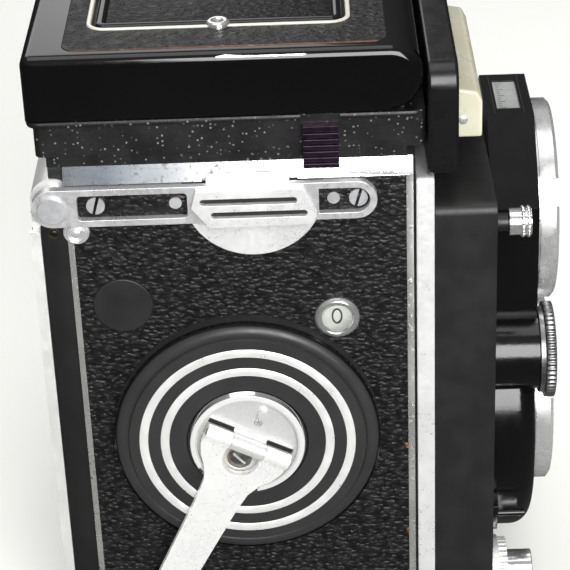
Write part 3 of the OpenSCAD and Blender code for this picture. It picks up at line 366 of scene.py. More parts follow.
def clear_glass(name, color=(0.95, 0.97, 0.96)):
    look = Look(name, color, roughness=0.03, Transmission_Weight=1.0, IOR=1.45)
    look.set("Roughness", look.fit(look.noise(260, 3.0), 0.35, 0.75, 0.02, 0.08))
    return look.material


def plastic(name, color, rough=0.35, glow=0.0, yellowing=None):
    look = Look(name, color, roughness=rough, Subsurface_Weight=glow, Subsurface_Scale=0.004)
    aged = yellowing or [c * 0.85 for c in color]
    look.set("Base Color", look.mix(look.fit(look.noise(75, 4.0), 0.4, 0.7), color, aged))
    look.set("Roughness", look.fit(look.noise(400, 3.0), 0.3, 0.7, rough * 0.8, rough * 1.25))
    look.bump(look.noise(1200, 2.0), 0.01, 0.2)
    return look.material


def anodised():
    """Black violet anodising with a painted violet and pink sheen that grows towards grazing view angles."""
    look = Look("violet_anodising", (0.03, 0.022, 0.035), metallic=0.85, roughness=0.28)
    facing = look.add("ShaderNodeLayerWeight")
    facing.inputs["Blend"].default_value = 0.45
    # Painted sheen: the base colour lightens to violet and pink towards grazing view angles, whatever the
    # light.
    tone = look.mix(facing.outputs["Facing"], (0.03, 0.02, 0.036), (0.2, 0.1, 0.17))
    look.set("Base Color", look.mix(look.fit(look.noise(700), 0.45, 0.7), tone, (0.02, 0.016, 0.024)))
    look.bump(look.noise(1500, 2.0), 0.01, 0.3)
    return look.material


CHROME = plating("bright_chrome", (0.83, 0.83, 0.82), 0.15, metallic=0.88)
WORN_CHROME_PAINTED_REFLECTION = panel_chrome()
TRIM = plating("trim_chrome", (0.86, 0.86, 0.84), 0.4, pits=0.2, metallic=0.6)
WHITE_METAL = plating("white_metal", (0.93, 0.93, 0.92), 0.34, metallic=0.62)
ARM_METAL = plating("arm_metal", (0.95, 0.95, 0.935), 0.3, metallic=0.54)
STEEL = plating("steel", (0.52, 0.53, 0.54), 0.4, metallic=0.6)
WHEEL_STEEL = plating("wheel_steel", (0.3, 0.3, 0.3), 0.32, metallic=0.95)
SATIN_CHROME = plating("satin_chrome", (0.8, 0.8, 0.81), 0.34, metallic=0.75)
IVORY = plating("frame_nickel", (0.74, 0.71, 0.62), 0.34, metallic=0.4)
DARK_BRASS = plating("dark_brass", (0.15, 0.12, 0.055), 0.5)
DARK_STEEL = plating("dark_steel", (0.09, 0.09, 0.095), 0.38)
BRASS = plating("brass", (0.72, 0.55, 0.25), 0.28)
AGED_BRASS = plating("aged_brass", (0.42, 0.34, 0.17), 0.4, pits=0.5, metallic=0.8)
GLOSS = enamel("gloss_enamel", (0.0022, 0.0022, 0.0025), 0.1, dust=0.004)
SEMI = enamel("semi_gloss_enamel", (0.003, 0.003, 0.0033), 0.16, grain=0.002, dust=0.004)
METER = enamel("meter_enamel", (0.004, 0.004, 0.0043), 0.28, grain=0.003, dust=0.006)
CAP = enamel("cap_enamel", (0.012, 0.012, 0.0122), 0.4, grain=0.004, dust=0.02, dust_scale=1500)
SATIN = enamel("satin_enamel", (0.01, 0.01, 0.0104), 0.42, grain=0.008, dust=0.005)
CRACKLE = enamel("crackle_enamel", (0.0055, 0.0055, 0.0057), 0.46, grain=0.06, grain_scale=1900, dust=0.5,
                 dust_scale=1150)
FLANGE = enamel("flange_satin", (0.02, 0.02, 0.0205), 0.38, grain=0.006, grain_scale=3000, dust=0.003)
MATT = enamel("matt_black", (0.01, 0.01, 0.01), 0.7, grain=0.02, dust=0.004)
MIRROR = plating("silvered_mirror", (0.92, 0.93, 0.94), 0.03)
SCREEN = plastic("ground_glass", (0.74, 0.76, 0.75), 0.6, glow=0.3)
CREAM = plastic("cream_plastic", (0.5, 0.49, 0.385), 0.33, glow=0.2, yellowing=(0.46, 0.44, 0.31))
CELL = plastic("cell_grid", (0.5, 0.49, 0.37), 0.35)
DIAL_WHITE = plastic("dial_enamel", (0.84, 0.84, 0.8), 0.5)
INK = enamel("ink", (0.008, 0.008, 0.008), 0.5, dust=0.0)
PALE_INK = plastic("pale_ink", (0.7, 0.68, 0.58), 0.5)
GLASS = clear_glass("window_glass")
LUPE = clear_glass("magnifier_glass", (0.9, 0.95, 0.97))
VIEW_GLASS = lens_glass("viewing_glass", (0.35, 0.28, 0.85))
TAKE_GLASS = lens_glass("taking_glass", (0.62, 0.22, 0.7))
VIOLET = anodised()
RING_METAL = (0.78, 0.78, 0.77)
LATHE_VIEW = turned("viewing_ring_metal", RING_METAL, 0.26, Vector((0, 0, VIEWING_Z)), 1, metallic=0.75)
LATHE_TAKE = turned("taking_ring_metal", RING_METAL, 0.26, Vector((0, 0, TAKING_Z)), 1, metallic=0.7)
LATHE_BAND = turned("band_metal", (0.95, 0.95, 0.93), 0.36, CRANK, 0, metallic=0.6)


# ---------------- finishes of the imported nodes
def paint(material, *names):
    for name in names:
        mesh = frame["nodes"][name].data
        mesh.materials.clear()
        mesh.materials.append(material)


EDGE_ANGLE = math.radians(32)


def soften(width, *names, segments=3):
    """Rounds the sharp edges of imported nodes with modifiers: their own meshes stay as they are."""
    for name in names:
        node = frame["nodes"][name]
        node.data.shade_smooth()
        node.modifiers.new("Weld", "WELD").merge_threshold = 0.004 * MM
        dissolve = node.modifiers.new("Flat faces", "DECIMATE")
        dissolve.decimate_type = "DISSOLVE"
        dissolve.angle_limit = math.radians(0.5)
        if width:
            bevel = node.modifiers.new("Edges", "BEVEL")
            bevel.width = width * MM
            bevel.segments = segments
            bevel.limit_method = "ANGLE"
            bevel.angle_limit = EDGE_ANGLE
            bevel.use_clamp_overlap = True
            bevel.miter_outer = "MITER_ARC"
        weigh = node.modifiers.new("Shading", "WEIGHTED_NORMAL")
        weigh.keep_sharp = True


def skin(node, wear, axes=(1, 2)):
    paint(leather(node + "_finish", span(node), axes, wear), node)


skin("crank_side_leather", 1.0)
skin("knob_side_leather", 0.8)
skin("back_leather", 0.5, axes=(0, 2))
paint(WORN_CHROME_PAINTED_REFLECTION, "crank_side_cover", "knob_side_cover")
paint(TRIM, "back_door", "back_latch")
paint(WHITE_METAL, "front_frame", "strap_wear_plates", "strap_lugs", "release_collar")
paint(SATIN, "chassis", "front_standard", "pressure_plate", "take_up_spool")
paint(METER, "meter_housing")
paint(SEMI, "lens_housing", "self_timer_lever")
paint(GLOSS, "focus_knob")
paint(CAP, "spool_bearing_cap")
paint(CRACKLE, "hood_base")
paint(MATT, "hood_wall_left", "hood_wall_right", "hood_wall_rear", "shutter_blades")
paint(CHROME, "release_button", "counter_bezel")
paint(SATIN_CHROME, "strap_bars")
paint(STEEL, "screws_and_pins", "focus_shaft", "tripod_socket", "spool_knob_upper", "spool_knob_lower")
paint(WHEEL_STEEL, "aperture_wheel", "speed_wheel")
paint(hub_metal(), "crank_hub")
paint(ARM_METAL, "crank_arm", "crank_knob")
paint(AGED_BRASS, "crank_hinge_pin")
paint(BRASS, "crank_gear", "idler_gear", "take_up_gear")
paint(MIRROR, "reflex_mirror")
paint(SCREEN, "focusing_screen")
paint(GLASS, "counter_window")
paint(LUPE, "magnifier")
paint(VIEW_GLASS, "viewing_lens")
paint(TAKE_GLASS, "taking_lens")
paint(LATHE_VIEW, "viewing_bayonet")
paint(LATHE_TAKE, "taking_bayonet")
paint(CREAM, "meter_diffuser")
paint(CELL, "meter_cell")
paint(DIAL_WHITE, "counter_dial")
paint(VIOLET, "hood_catch_right", "hood_catch_left")

soften(0.9, "meter_housing", segments=4)
soften(0.8, "lens_housing", "meter_diffuser")
soften(0.5, "front_standard", "strap_bars", "crank_arm")
soften(0.3, "hood_base", "strap_lugs", "front_frame", "spool_bearing_cap", "back_door")
soften(0.15, "crank_side_cover", "knob_side_cover", "viewing_bayonet", "taking_bayonet", "counter_bezel",
       "strap_wear_plates", "screws_and_pins", "crank_hub", "release_collar", "self_timer_lever")
soften(0.3, "release_button", "tripod_socket", "crank_knob")
soften(0.12, "hood_catch_right", "hood_catch_left", segments=2)
soften(0.1, "aperture_wheel", "speed_wheel", "focus_knob", "spool_knob_upper", "spool_knob_lower", segments=1)
soften(0, "chassis", "crank_side_leather", "knob_side_leather", "back_leather", "reflex_mirror",
       "focusing_screen", "viewing_lens", "taking_lens", "magnifier", "crank_gear", "idler_gear",
       "take_up_gear", "take_up_spool", "focus_shaft", "counter_dial", "counter_window", "meter_cell",
       "shutter_blades", "pressure_plate", "back_latch", "hood_wall_left", "hood_wall_right",
       "hood_wall_rear", "crank_hinge_pin")


# ---------------- mesh helpers
def make(name, points, faces, material, body, slot):
    """A new piece from points in millimetres, riding on a body."""
    mesh = bpy.data.meshes.new(name)
    mesh.from_pydata([Vector(p) * MM for p in points], [], faces)
    mesh.update()
    bm = bmesh.new()
    bm.from_mesh(mesh)
    bmesh.ops.remove_doubles(bm, verts=bm.verts, dist=0.0005 * MM)
    bmesh.ops.recalc_face_normals(bm, faces=bm.faces)
    bm.to_mesh(mesh)
    bm.free()
    mesh.materials.append(material)
    mesh.shade_smooth()
    mesh.set_sharp_from_angle(angle=math.radians(40))
    piece = bpy.data.objects.new(name, mesh)
    bpy.context.scene.collection.objects.link(piece)
    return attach(piece, body)


def loft(outline, profile, place, closed=False):
    """Points and faces of a solid whose outline(offset) is carried through (offset, height) steps."""
    rings = [[place(u, v, height) for u, v in outline(offset)] for offset, height in profile]
    count = len(rings[0])
    points = [p for ring in rings for p in ring]
    faces = []
    steps = len(rings) if closed else len(rings) - 1
    for i in range(steps):
        a, b = i * count, (i + 1) % len(rings) * count
        faces += [(a + k, a + (k + 1) % count, b + (k + 1) % count, b + k) for k in range(count)]
    if not closed:
        faces += [tuple(range(count))[::-1], tuple(range(len(points) - count, len(points)))]
    return points, faces


def joined(*solids):
    points, faces = [], []
    for some_points, some_faces in solids:
        start = len(points)
        points += some_points
        faces += [tuple(start + k for k in face) for face in some_faces]
    return points, faces


def circle(radius, steps=96):
    return lambda offset: [((radius - offset) * math.cos(TURN * k / steps),
                            (radius - offset) * math.sin(TURN * k / steps)) for k in range(steps)]


def round_rect(u0, v0, u1, v1, r, steps=8):
    """Outline of a rectangle with round corners, pulled in by an offset."""
    corners = [(u1 - r, v1 - r, 0), (u0 + r, v1 - r, 1), (u0 + r, v0 + r, 2), (u1 - r, v0 + r, 3)]

    def outline(offset):
        radius = max(r - offset, 0.02)
        shift = max(offset - r, 0)
        points = []
        for u, v, quarter in corners:
            u += shift * (1 if quarter in (1, 2) else -1)
            v += shift * (1 if quarter in (2, 3) else -1)
            for k in range(steps + 1):
                angle = (quarter + k / steps) * math.pi / 2
                points.append((u + radius * math.cos(angle), v + radius * math.sin(angle)))
        return points
    return outline


def stadium(u0, u1, v, r, steps=20):
    """Outline of a bar with two round ends, pulled in by an offset."""
    def outline(offset):
        radius = r - offset
        points = []
        for u, start in ((u1, -0.5), (u0, 0.5)):
            points += [(u + radius * math.cos(math.pi * (start + k / steps)),
                        v + radius * math.sin(math.pi * (start + k / steps))) for k in range(steps + 1)]
        return points
    return outline


def spoke(angle, inner, outer, half):
    """Outline of one straight tick along a radius."""
    c, s = math.cos(angle), math.sin(angle)
    corners = [(r * c - w * s, r * s + w * c)
               for r, w in ((inner, -half), (outer, -half), (outer, half), (inner, half))]
    return lambda offset: corners


def outward_x(x0, side=-1):
    """Place for drawings in (y, z) whose height grows away from the body on one side."""
    return lambda u, v, h: (side * (x0 + h), u, v)


def upward(z0):
    return lambda u, v, h: (u, v, z0 + h)


def forward(y0):
    """Place for drawings in (x, z) whose height grows towards -Y."""
    return lambda u, v, h: (u, y0 - h, v)


def about(place, u0, v0):
    return lambda u, v, h: place(u + u0, v + v0, h)


def on_hub(x0):
    """Place for drawings with u along the crank arm and v across it, rising out of the crank side."""
    return lambda u, v, h: tuple(Vector((-(x0 + h), CRANK.y, CRANK.z)) + ARM * u + ARM_SIDE * v)


def box_along(place, low, high):
    points, faces = box_solid(low, high)
    return [place(*point) for point in points], faces


def box_solid(low, high):
    corners = [(x, y, z) for x in (low[0], high[0]) for y in (low[1], high[1]) for z in (low[2], high[2])]
    faces = [(0, 1, 3, 2), (4, 6, 7, 5), (0, 4, 5, 1), (2, 3, 7, 6), (0, 2, 6, 4), (1, 5, 7, 3)]
    return corners, faces


def cut(piece, *solids):
    """Takes solids out of a piece for good."""
    for points, faces in solids:
        mesh = bpy.data.meshes.new("cutter")
        mesh.from_pydata([Vector(p) * MM for p in points], [], faces)
        bm = bmesh.new()
        bm.from_mesh(mesh)
        bmesh.ops.recalc_face_normals(bm, faces=bm.faces)
        bm.to_mesh(mesh)
        bm.free()
        cutter = bpy.data.objects.new("cutter", mesh)
        bpy.context.scene.collection.objects.link(cutter)
        modifier = piece.modifiers.new("Cut", "BOOLEAN")
        modifier.object = cutter
        modifier.solver = "EXACT"
        bpy.context.view_layer.update()
        result = bpy.data.meshes.new_from_object(piece.evaluated_get(bpy.context.evaluated_depsgraph_get()))
        piece.modifiers.clear()
        piece.data = result
        bpy.data.objects.remove(cutter)
    return piece


def bevelled(piece, width):
    modifier = piece.modifiers.new("Edges", "BEVEL")
    modifier.width = width * MM
    modifier.segments = 3
    modifier.limit_method = "ANGLE"
    modifier.angle_limit = EDGE_ANGLE
    weigh = piece.modifiers.new("Shading", "WEIGHTED_NORMAL")
    weigh.keep_sharp = True
    return piece


# ---------------- lid of the hood
def hood_lid():
    """Lid shell: round front end, round rear top edge and softly rounded side edges."""
    low, high = span("hood_lid")
    hinge = joint_place("lid_open")
    rear_r, front_r = 2.2, high.z - hinge.z

    def outline(offset):
        front = front_r - offset
        points = [(hinge.y + front * math.cos(a), hinge.z + front * math.sin(a))
                  for a in (math.pi * (1.5 - k / 28) for k in range(29))]
        rear = rear_r - min(offset, rear_r - 0.05)
        top, back = high.z - offset - rear, high.y - offset - rear
        points += [(back + rear * math.cos(a), top + rear * math.sin(a))
                   for a in (math.pi / 2 * (1 - k / 10) for k in range(11))]
        points.append((high.y - offset, low.z + offset * 0.25))
        points[0] = (hinge.y, low.z + offset * 0.25)
        return points

    arc = [(LID_EDGE * (1 - math.sin(a)), high.x - LID_EDGE * (1 - math.cos(a)))
           for a in (math.pi / 2 * k / 7 for k in range(8))]
    profile = [(o, -h) for o, h in arc] + [(o, h) for o, h in arc[::-1]]
    profile.sort(key=lambda step: step[1])
    points, faces = loft(outline, profile, lambda u, v, h: (h, u, v))
    lid = make("lid_shell", points, faces, GLOSS, "lid", "black_enamel")
    wall, gap = 2.2, 0.1
    ear_inner, ear_outer = 34.25, 36.25
    cutters = [box_solid((low.x + wall, hinge.y + 2.6, low.z - 1),
                         (high.x - wall, high.y - wall, high.z - wall))]
    for side in (-1, 1):
        near, far = sorted((side * ear_inner, side * ear_outer))
        cutters.append(box_solid((near, hinge.y - 8, low.z - 1), (far, hinge.y + 3, high.z - wall)))
    flap_low, flap_high = span("finder_flap")
    window = round_rect(flap_low.x - gap, flap_low.y - gap, flap_high.x + gap, flap_high.y + gap, 4)
    cutters.append(loft(window, [(0, -4), (0, 2)], upward(high.z)))
    cut(lid, *cutters)
    lid.data.shade_smooth()
    lid.data.set_sharp_from_angle(angle=math.radians(28))
    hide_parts("hood_lid")
    # Lugs of the magnifier under the lid
    swing = joint_place("loupe_swing")
    lug_x = 27.5
    lugs = [box_solid((s * lug_x - 1, swing.y - 1.8, swing.z + 0.9),
                      (s * lug_x + 1, swing.y + 1.8, high.z - wall + gap)) for s in (-1, 1)]
    bevelled(make("magnifier_lugs", *joined(*lugs), SATIN, "lid", "black_enamel"), 0.2)


def hood_rim():
    """Thin ledge round the top of the hood base, a little wider than the base and rounded at its corners."""
    low, high = span("hood_base")
    lid_low, lid_high = span("hood_lid")
    outline = round_rect(lid_low.x + 0.1, low.y, lid_high.x - 0.1, lid_high.y - 0.05, 2.6)
    ledge = [(2.4, -1.35), (0.5, -1.35), (0.12, -1.15), (0, -0.8), (0, -0.35), (0.2, -0.06), (2.4, -0.06)]
    rim = make("hood_rim", *loft(outline, ledge, upward(lid_low.z), closed=True), CRACKLE, "hood",
               "crackle_black")
    notch_x, outside_x = 37.2, 42
    for catch in ("hood_catch_right", "hood_catch_left"):
        catch_low, catch_high = span(catch)
        side = 1 if catch_low.x > 0 else -1
        near, far = sorted((side * notch_x, side * outside_x))
        cut(rim, box_solid((near, catch_low.y - 0.4, low.z), (far, catch_high.y + 0.4, lid_low.z + 1)))


def lid_chip():
    """Bare metal where the paint of the lid's crank side edge has chipped off."""
    low, high = span("hood_lid")
    start, length, proud = 2.6, 17.5, 0.015
    radius = LID_EDGE + proud
    rows, columns, points, faces = 3, 90, [], []
    for i in range(columns + 1):
        y = start - length * i / columns
        taper = min(1, 0.35 * i, 0.35 * (columns - i))
        upper = taper * (0.02 + 0.14 * math.exp(-((i - 12) / 10) ** 2) + 0.06 * random.random())
        lower = taper * (0.08 + 0.03 * random.random())
        for k in range(rows + 1):
            angle = math.radians(33) - lower + (upper + lower) * k / rows
            points.append((low.x + LID_EDGE - radius * math.cos(angle), y,
                           high.z - LID_EDGE + radius * math.sin(angle)))
    for i in range(columns):
        a, b = i * (rows + 1), (i + 1) * (rows + 1)
        faces += [(a + k, a + k + 1, b + k + 1, b + k) for k in range(rows)]
    make("lid_chip", points, faces, WHITE_METAL, "lid", "black_enamel")


def lid_leather():
    low, high = span("lid_leather")
    top = span("hood_lid")[1].z
    flap_low, flap_high = span("finder_flap")
    look = leather("lid_leather_finish", (low, high), (0, 1), 1.0, hem=0.9)
    outer = round_rect(low.x, low.y, high.x, high.y, 3)
    inner = round_rect(flap_low.x, flap_low.y, flap_high.x, flap_high.y, 4)
    place = upward(top)
    edge, base = 0.16, -0.3
    rings = [outer(0), outer(0), outer(edge), inner(-edge), inner(0), inner(0)]
    heights = [base, 0, edge, edge, 0, base]
    count = len(rings[0])
    points = [place(u, v, h) for ring, h in zip(rings, heights) for u, v in ring]
    faces = []
    for i in range(len(rings)):
        a, b = i * count, (i + 1) % len(rings) * count
        faces += [(a + k, a + (k + 1) % count, b + (k + 1) % count, b + k) for k in range(count)]
    piece = make("lid_covering", points, faces, look, "lid", "black_leather")
    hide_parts("lid_leather")


def finder_flap():
    """Bright outer frame, round black moulding and leathered middle of the direct finder."""
    low, high = span("finder_flap")
    top = span("hood_lid")[1].z
    frame_w = 0.9
    outline = round_rect(low.x, low.y, high.x, high.y, 3.9)
    bright = [(0, -1.8), (0, 0.25), (0.2, 0.42),
              (frame_w - 0.2, 0.42), (frame_w, 0.25), (frame_w, -1.8)]
    place = upward(top)
    piece = make("finder_frame", *loft(outline, bright, place, closed=True), IVORY, "lid", "polished_chrome")
    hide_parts("finder_flap")
    start, width = frame_w + 0.55, 2.5
    moulding = [(start, -1.9)] + [(start + width / 2 * (1 - math.cos(a)), -0.45 + 0.95 * math.sin(a))
                                  for a in (math.pi * k / 10 for k in range(11))] + [(start + width, -1.9)]
    make("finder_moulding", *loft(outline, moulding, place, closed=True), GLOSS, "lid", "black_enamel")
    channel = [(frame_w - 0.05, -1.9), (frame_w - 0.05, -0.75), (start + 0.05, -0.75), (start + 0.05, -1.9)]
    make("finder_channel", *loft(outline, channel, place, closed=True), MATT, "lid", "black_enamel")
    inset = start + width - 0.15
    border = Vector((inset, inset, 0))
    panel = leather("finder_leather_finish", (low + border, high - border), (0, 1), 0.6)
    cushion = [(inset, -1.9), (inset, -0.25), (inset + 0.25, -0.05)]
    make("finder_leather", *loft(outline, cushion, place), panel, "lid", "black_leather")
    pin_x, pin_y = low.x + 1.3, 2.3
    pin = [(0, -0.4), (0, 0.55), (0.25, 0.95), (0.7, 1.15), (1.2, 1.05), (1.55, 0.75), (1.75, 0.45)]
    make("finder_catch_pin", *loft(circle(2.4, 48), pin, about(place, pin_x, pin_y)), CHROME, "lid",
         "polished_chrome")
    hole = [(0, 0.45), (0, 0.52), (0.28, 0.52), (0.28, 0.48)]
    make("finder_catch_hole", *loft(circle(0.62, 24), hole, about(place, pin_x, pin_y)), AGED_BRASS, "lid",
         "gear_brass")


# ---------------- crank side
def crank_flange():
    """Black flange: round rim with a shallow groove, fine satin face and two bare bands."""
    height = FLANGE_X - SKIN_X
    on_skin = about(outward_x(SKIN_X), CRANK.y, CRANK.z)
    radius = span("crank_flange")[1].z - CRANK.z
    rim, bore = 2.1, 12.65
    groove_r, lift = 24.85, 0.35
    groove = radius - groove_r
    arc = [(rim * (1 - math.cos(a)), height - lift - rim * (1 - math.sin(a)))
           for a in (math.pi / 2 * k / 8 for k in range(9))]
    profile = [(0, 0.02)] + arc
    profile += [(groove - 0.25, height - 0.38), (groove, height - 0.55), (groove + 0.25, height)]
    profile += [(radius - bore - 0.15, height), (radius - bore, height - 0.15), (radius - bore, 0.02)]
    piece = make("flange_shell", *loft(circle(radius, 128), profile, on_skin, closed=True), FLANGE,
                 "camera_body", "black_enamel")
    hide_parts("crank_flange")
    bands = []
    for outer, inner in ((22.5, 20.7), (18.1, 16.3)):
        width = outer - inner
        ring = [(0, height - 0.1), (0, height + 0.03), (0.1, height + 0.09),
                (width - 0.1, height + 0.09), (width, height + 0.03), (width, height - 0.1)]
        bands.append(loft(circle(outer, 128), ring, on_skin, closed=True))
    make("flange_bands", *joined(*bands), LATHE_BAND, "camera_body", "bare_aluminium")
    edge = [(-0.01, height - 2.7), (-0.05, height - 1.4), (0.2, height - 1.1), (0.3, height - 1.5)]
    worn = loft(circle(radius, 128), edge, on_skin, closed=True)
    make("flange_worn_edge", *worn, GLOSS, "camera_body", "black_enamel")


def crank_screw(name, place, radius, height, material, angle, dome=0.3):
    """Screw head on the crank, with a real slot across it."""
    profile = [(0, -0.2), (0, height * 0.55), (radius * 0.1, height * 0.85),
               (radius * 0.35, height + dome * 0.5), (radius * 0.7, height + dome * 0.8)]
    screw = make(name, *loft(circle(radius, 40), profile, place), material, "crank", "satin_chrome")
    long = radius * 1.3
    cut(screw, loft(spoke(angle, -long, long, radius * 0.13), [(0, height * 0.45), (0, height + 2)], place))
    screw.data.shade_smooth()
    screw.data.set_sharp_from_angle(angle=math.radians(35))


def crank_details():
    """Screws of the crank hub, the brass collar of the main one and thin matt black sheets that paint the
    shade in the openings of the hinge's bed.
    """
    plate, screw_u, small_u = FLANGE_X, 4, -5.2
    crank_screw("crank_main_screw", about(on_hub(plate + 0.3), screw_u, 0), 2.3, 0.42, WHEEL_STEEL, 1.2)
    collar = [(0, 0.0), (0, 0.42), (0.08, 0.5), (0.22, 0.5), (0.22, 0.0)]
    collar_place = about(on_hub(plate), screw_u, 0)
    make("crank_screw_collar", *loft(circle(2.6, 40), collar, collar_place, closed=True), AGED_BRASS,
         "crank", "gear_brass")
    near_v, far_v, bed = 3.75, 9.5, on_hub(plate - 0.62)
    # Painted shade: thin matt black sheets on the hinge's bed, where its openings would lie in shade.
    gap_shade_sheets = [box_along(bed, (-2.15, v0, 0.0), (-0.9, v1, 0.05))
            for v0, v1 in ((-far_v, -near_v), (near_v, far_v))]
    make("crank_bed_gap_shade", *joined(*gap_shade_sheets), MATT, "crank", "black_enamel")
    crank_screw("crank_plate_screw", about(on_hub(plate - 0.55), small_u, 0), 0.86, 0.35, STEEL, 0.2, 0.12)


def counter_numeral():
    """Frame number on the dial, low enough to read through the window from above, and the domed window."""
    low, high = span("counter_window")
    y, z = (low.y + high.y) / 2, (low.z + high.z) / 2
    x0 = -span("counter_dial")[0].x
    ring = [(0, -0.1), (0, 0.1), (0.3, 0.12), (0.3, -0.1)]

    def zero(offset):
        return [((0.92 - offset) * math.cos(TURN * k / 40), (1.42 - offset) * math.sin(TURN * k / 40))
                for k in range(40)]

    make("counter_zero", *loft(zero, ring, about(outward_x(x0), y, z - 1.15), closed=True), INK, "counter",
         "dial_white")
    dome = [(0, 0.0), (0, 0.2)] + [(0.3 * k, 0.2 + 0.45 * math.sin(min(1, 0.3 * k / 3.0) * math.pi / 2))
                                   for k in range(1, 10)]
    piece = make("counter_lens", *loft(circle(3.05, 48), dome, about(outward_x(SKIN_X + 0.42), y, z)), GLASS,
                 "camera_body", "clear_glass")
    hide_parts("counter_window")


def strap_details(side, tag):
    """Leatherette let into a strap bar, matt black sheets that paint the shade in the slots of its lug, the
    ringed stud and the edge ring.
    """
    z, inlay_r = HINGE.z, 2.75
    look = leather("strap_inlay_finish_" + tag)
    inlay, skin_place = [(0, 0), (0, 0.4), (0.1, 0.46)], outward_x(SKIN_X, side)
    windows = [loft(round_rect(9.5, z - inlay_r, 31.5, z + inlay_r, 0.8, 4), inlay, skin_place),
               loft(stadium(-23.8, -14.0, z, inlay_r), inlay, skin_place)]
    make("strap_inlay_" + tag, *joined(*windows), look, "camera_body", "black_leather")
    bar_place = outward_x(span("strap_bars")[1].x, side)
    slots = ((-11.4, 6.4, 115.3), (-13.4, 4.3, 112.4))
    # Painted shade: matt black sheets on the bar behind the lug's slots.
    slot_shade_sheets = [loft(stadium(y0, y1, slot_z, 0.66), [(0, 0), (0, 0.3)], bar_place) for y0, y1, slot_z in slots]
    make("lug_slot_shade_" + tag, *joined(*slot_shade_sheets), MATT, "camera_body", "black_enamel")
    stud_place = about(outward_x(SKIN_X + 0.7, side), STUD_Y, STUD_Z)
    step = [(0, 0.0), (0, 0.02), (0.3, 0.16), (0.55, 0.02), (0.7, 0.12), (0.7, 0.0)]
    rings = [(0, 0.0), (0, 0.75), (0.2, 0.86), (0.45, 0.74), (0.65, 0.88), (0.95, 0.76), (1.2, 0.9),
             (1.6, 1.0)]
    stud = loft(circle(2.6, 48), step, stud_place, closed=True)
    crown = loft(circle(1.9, 48), rings, stud_place)
    make("strap_stud_" + tag, *joined(stud, crown), SATIN_CHROME, "camera_body", "polished_chrome")
    strip_place = about(outward_x(SKIN_X - 0.3, side), RING_Y, RING_Z)
    ring = [(0, 0), (0, 0.2), (0.1, 0.3), (0.25, 0.3), (0.35, 0.15), (0.35, 0)]
    make("edge_ring_" + tag, *loft(circle(1.2, 32), ring, strip_place, closed=True), DARK_BRASS,
         "camera_body", "gear_brass")
    rivet = [(0, 0), (0, 0.12), (0.15, 0.2)]
    make("edge_rivet_" + tag, *loft(circle(0.55, 24), rivet, strip_place), DARK_STEEL, "camera_body",
         "satin_chrome")


# ---------------- front
def flash_clamp():
    """Bright sleeve with two rows of beads that give grip."""
    low, high = span("flash_socket_clamp")
    place = about(forward(high.y), CLAMP.x, CLAMP.z)
    length = high.y - low.y
    tube = [(0, 0), (0, length - 0.1), (0.15, length), (0.75, length), (0.75, 0)]
    solids = [loft(circle(2.75, 48), tube, place, closed=True)]
    bead, bead_row, count = 0.46, 2.78, 18
    for height in (length - 1.75, length - 0.6):
        for k in range(count):
            u, v = bead_row * math.cos(TURN * k / count), bead_row * math.sin(TURN * k / count)
            rings = [[(u + bead * math.sin(t) * math.cos(p), v + bead * math.sin(t) * math.sin(p),
                       height + bead * math.cos(t)) for p in (TURN * j / 8 for j in range(8))]
                     for t in (math.pi * (i + 0.12) / 5.24 for i in range(6))]
            points = [place(*p) for ring in rings for p in ring]
            faces = [(i * 8 + j, i * 8 + (j + 1) % 8, (i + 1) * 8 + (j + 1) % 8, (i + 1) * 8 + j)
                     for i in range(5) for j in range(8)]
            faces += [tuple(range(8))[::-1], tuple(range(40, 48))]
            solids.append((points, faces))
    piece = make("flash_clamp_sleeve", *joined(*solids), CHROME, "flash_clamp", "polished_chrome")
    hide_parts("flash_socket_clamp")


def lens_rims():
    """Ridged inner rims round the two front glasses."""
    for tag, centre_z, material in (("viewing", VIEWING_Z, MATT), ("taking", TAKING_Z, SEMI)):
        place = about(forward(span(tag + "_bayonet")[1].y), 0, centre_z)
        ridges = [(0, 2.2), (0, 3.4), (0.5, 3.5)]
        for k in range(5):
            ridges += [(0.75 + 0.55 * k, 3.45 - 0.32 * k), (1.0 + 0.55 * k, 3.1 - 0.32 * k)]
        ridges += [(3.7, 1.6), (3.7, 1.3)]
        make(tag + "_inner_rim", *loft(circle(17.6, 96), ridges, place, closed=True), material, "standard",
             "satin_black")


def scale_window():
    """Pale scale with ticks under the glass on top of the viewing lens housing."""
    top = span("lens_housing")[1].z
    y0, y1 = -59.25, -54.45
    plate = loft(round_rect(-6.9, y0, 6.9, y1, 0.2, 3), [(0, -1.19), (0, -0.32)], upward(top))
    pane = plastic("scale_grey", (0.34, 0.35, 0.34), 0.3)
    make("scale_plate", *plate, pane, "standard", "dial_white")
    ticks = []
    for k in range(-6, 7):
        long = 1.5 if k % 3 == 0 else 0.8
        ticks.append(box_solid((k - 0.07, y1 - 0.5 - long, top - 0.34), (k + 0.07, y1 - 0.5, top - 0.29)))
    make("scale_ticks", *joined(*ticks), INK, "standard", "dial_white")
    half = 9.4
    grooves = [box_solid((-half, y, top - 0.02), (half, y + 0.22, top + 0.05))
               for y in (y0 - 0.75, y1 + 0.55)]
    make("scale_border", *joined(*grooves), MATT, "standard", "black_enamel")


def diffuser_spring():
    """Small ribbed spring clip at the near end of the diffuser."""
    low, high = span("meter_diffuser")
    place = about(outward_x(-low.x - 0.62), high.y - 1.9, low.z + 2.4)
    coils = []
    for k in range(2):
        foot = 0.42 * k
        ring = [(0, foot), (0, foot + 0.08), (-0.16, foot + 0.19), (0, foot + 0.3), (0.7, foot + 0.3),
                (0.7, foot)]
        coils.append(loft(circle(0.8, 24), ring, about(place, 0, 1.5 * k), closed=True))
    make("diffuser_spring", *joined(*coils), SATIN_CHROME, "diffuser", "polished_chrome")


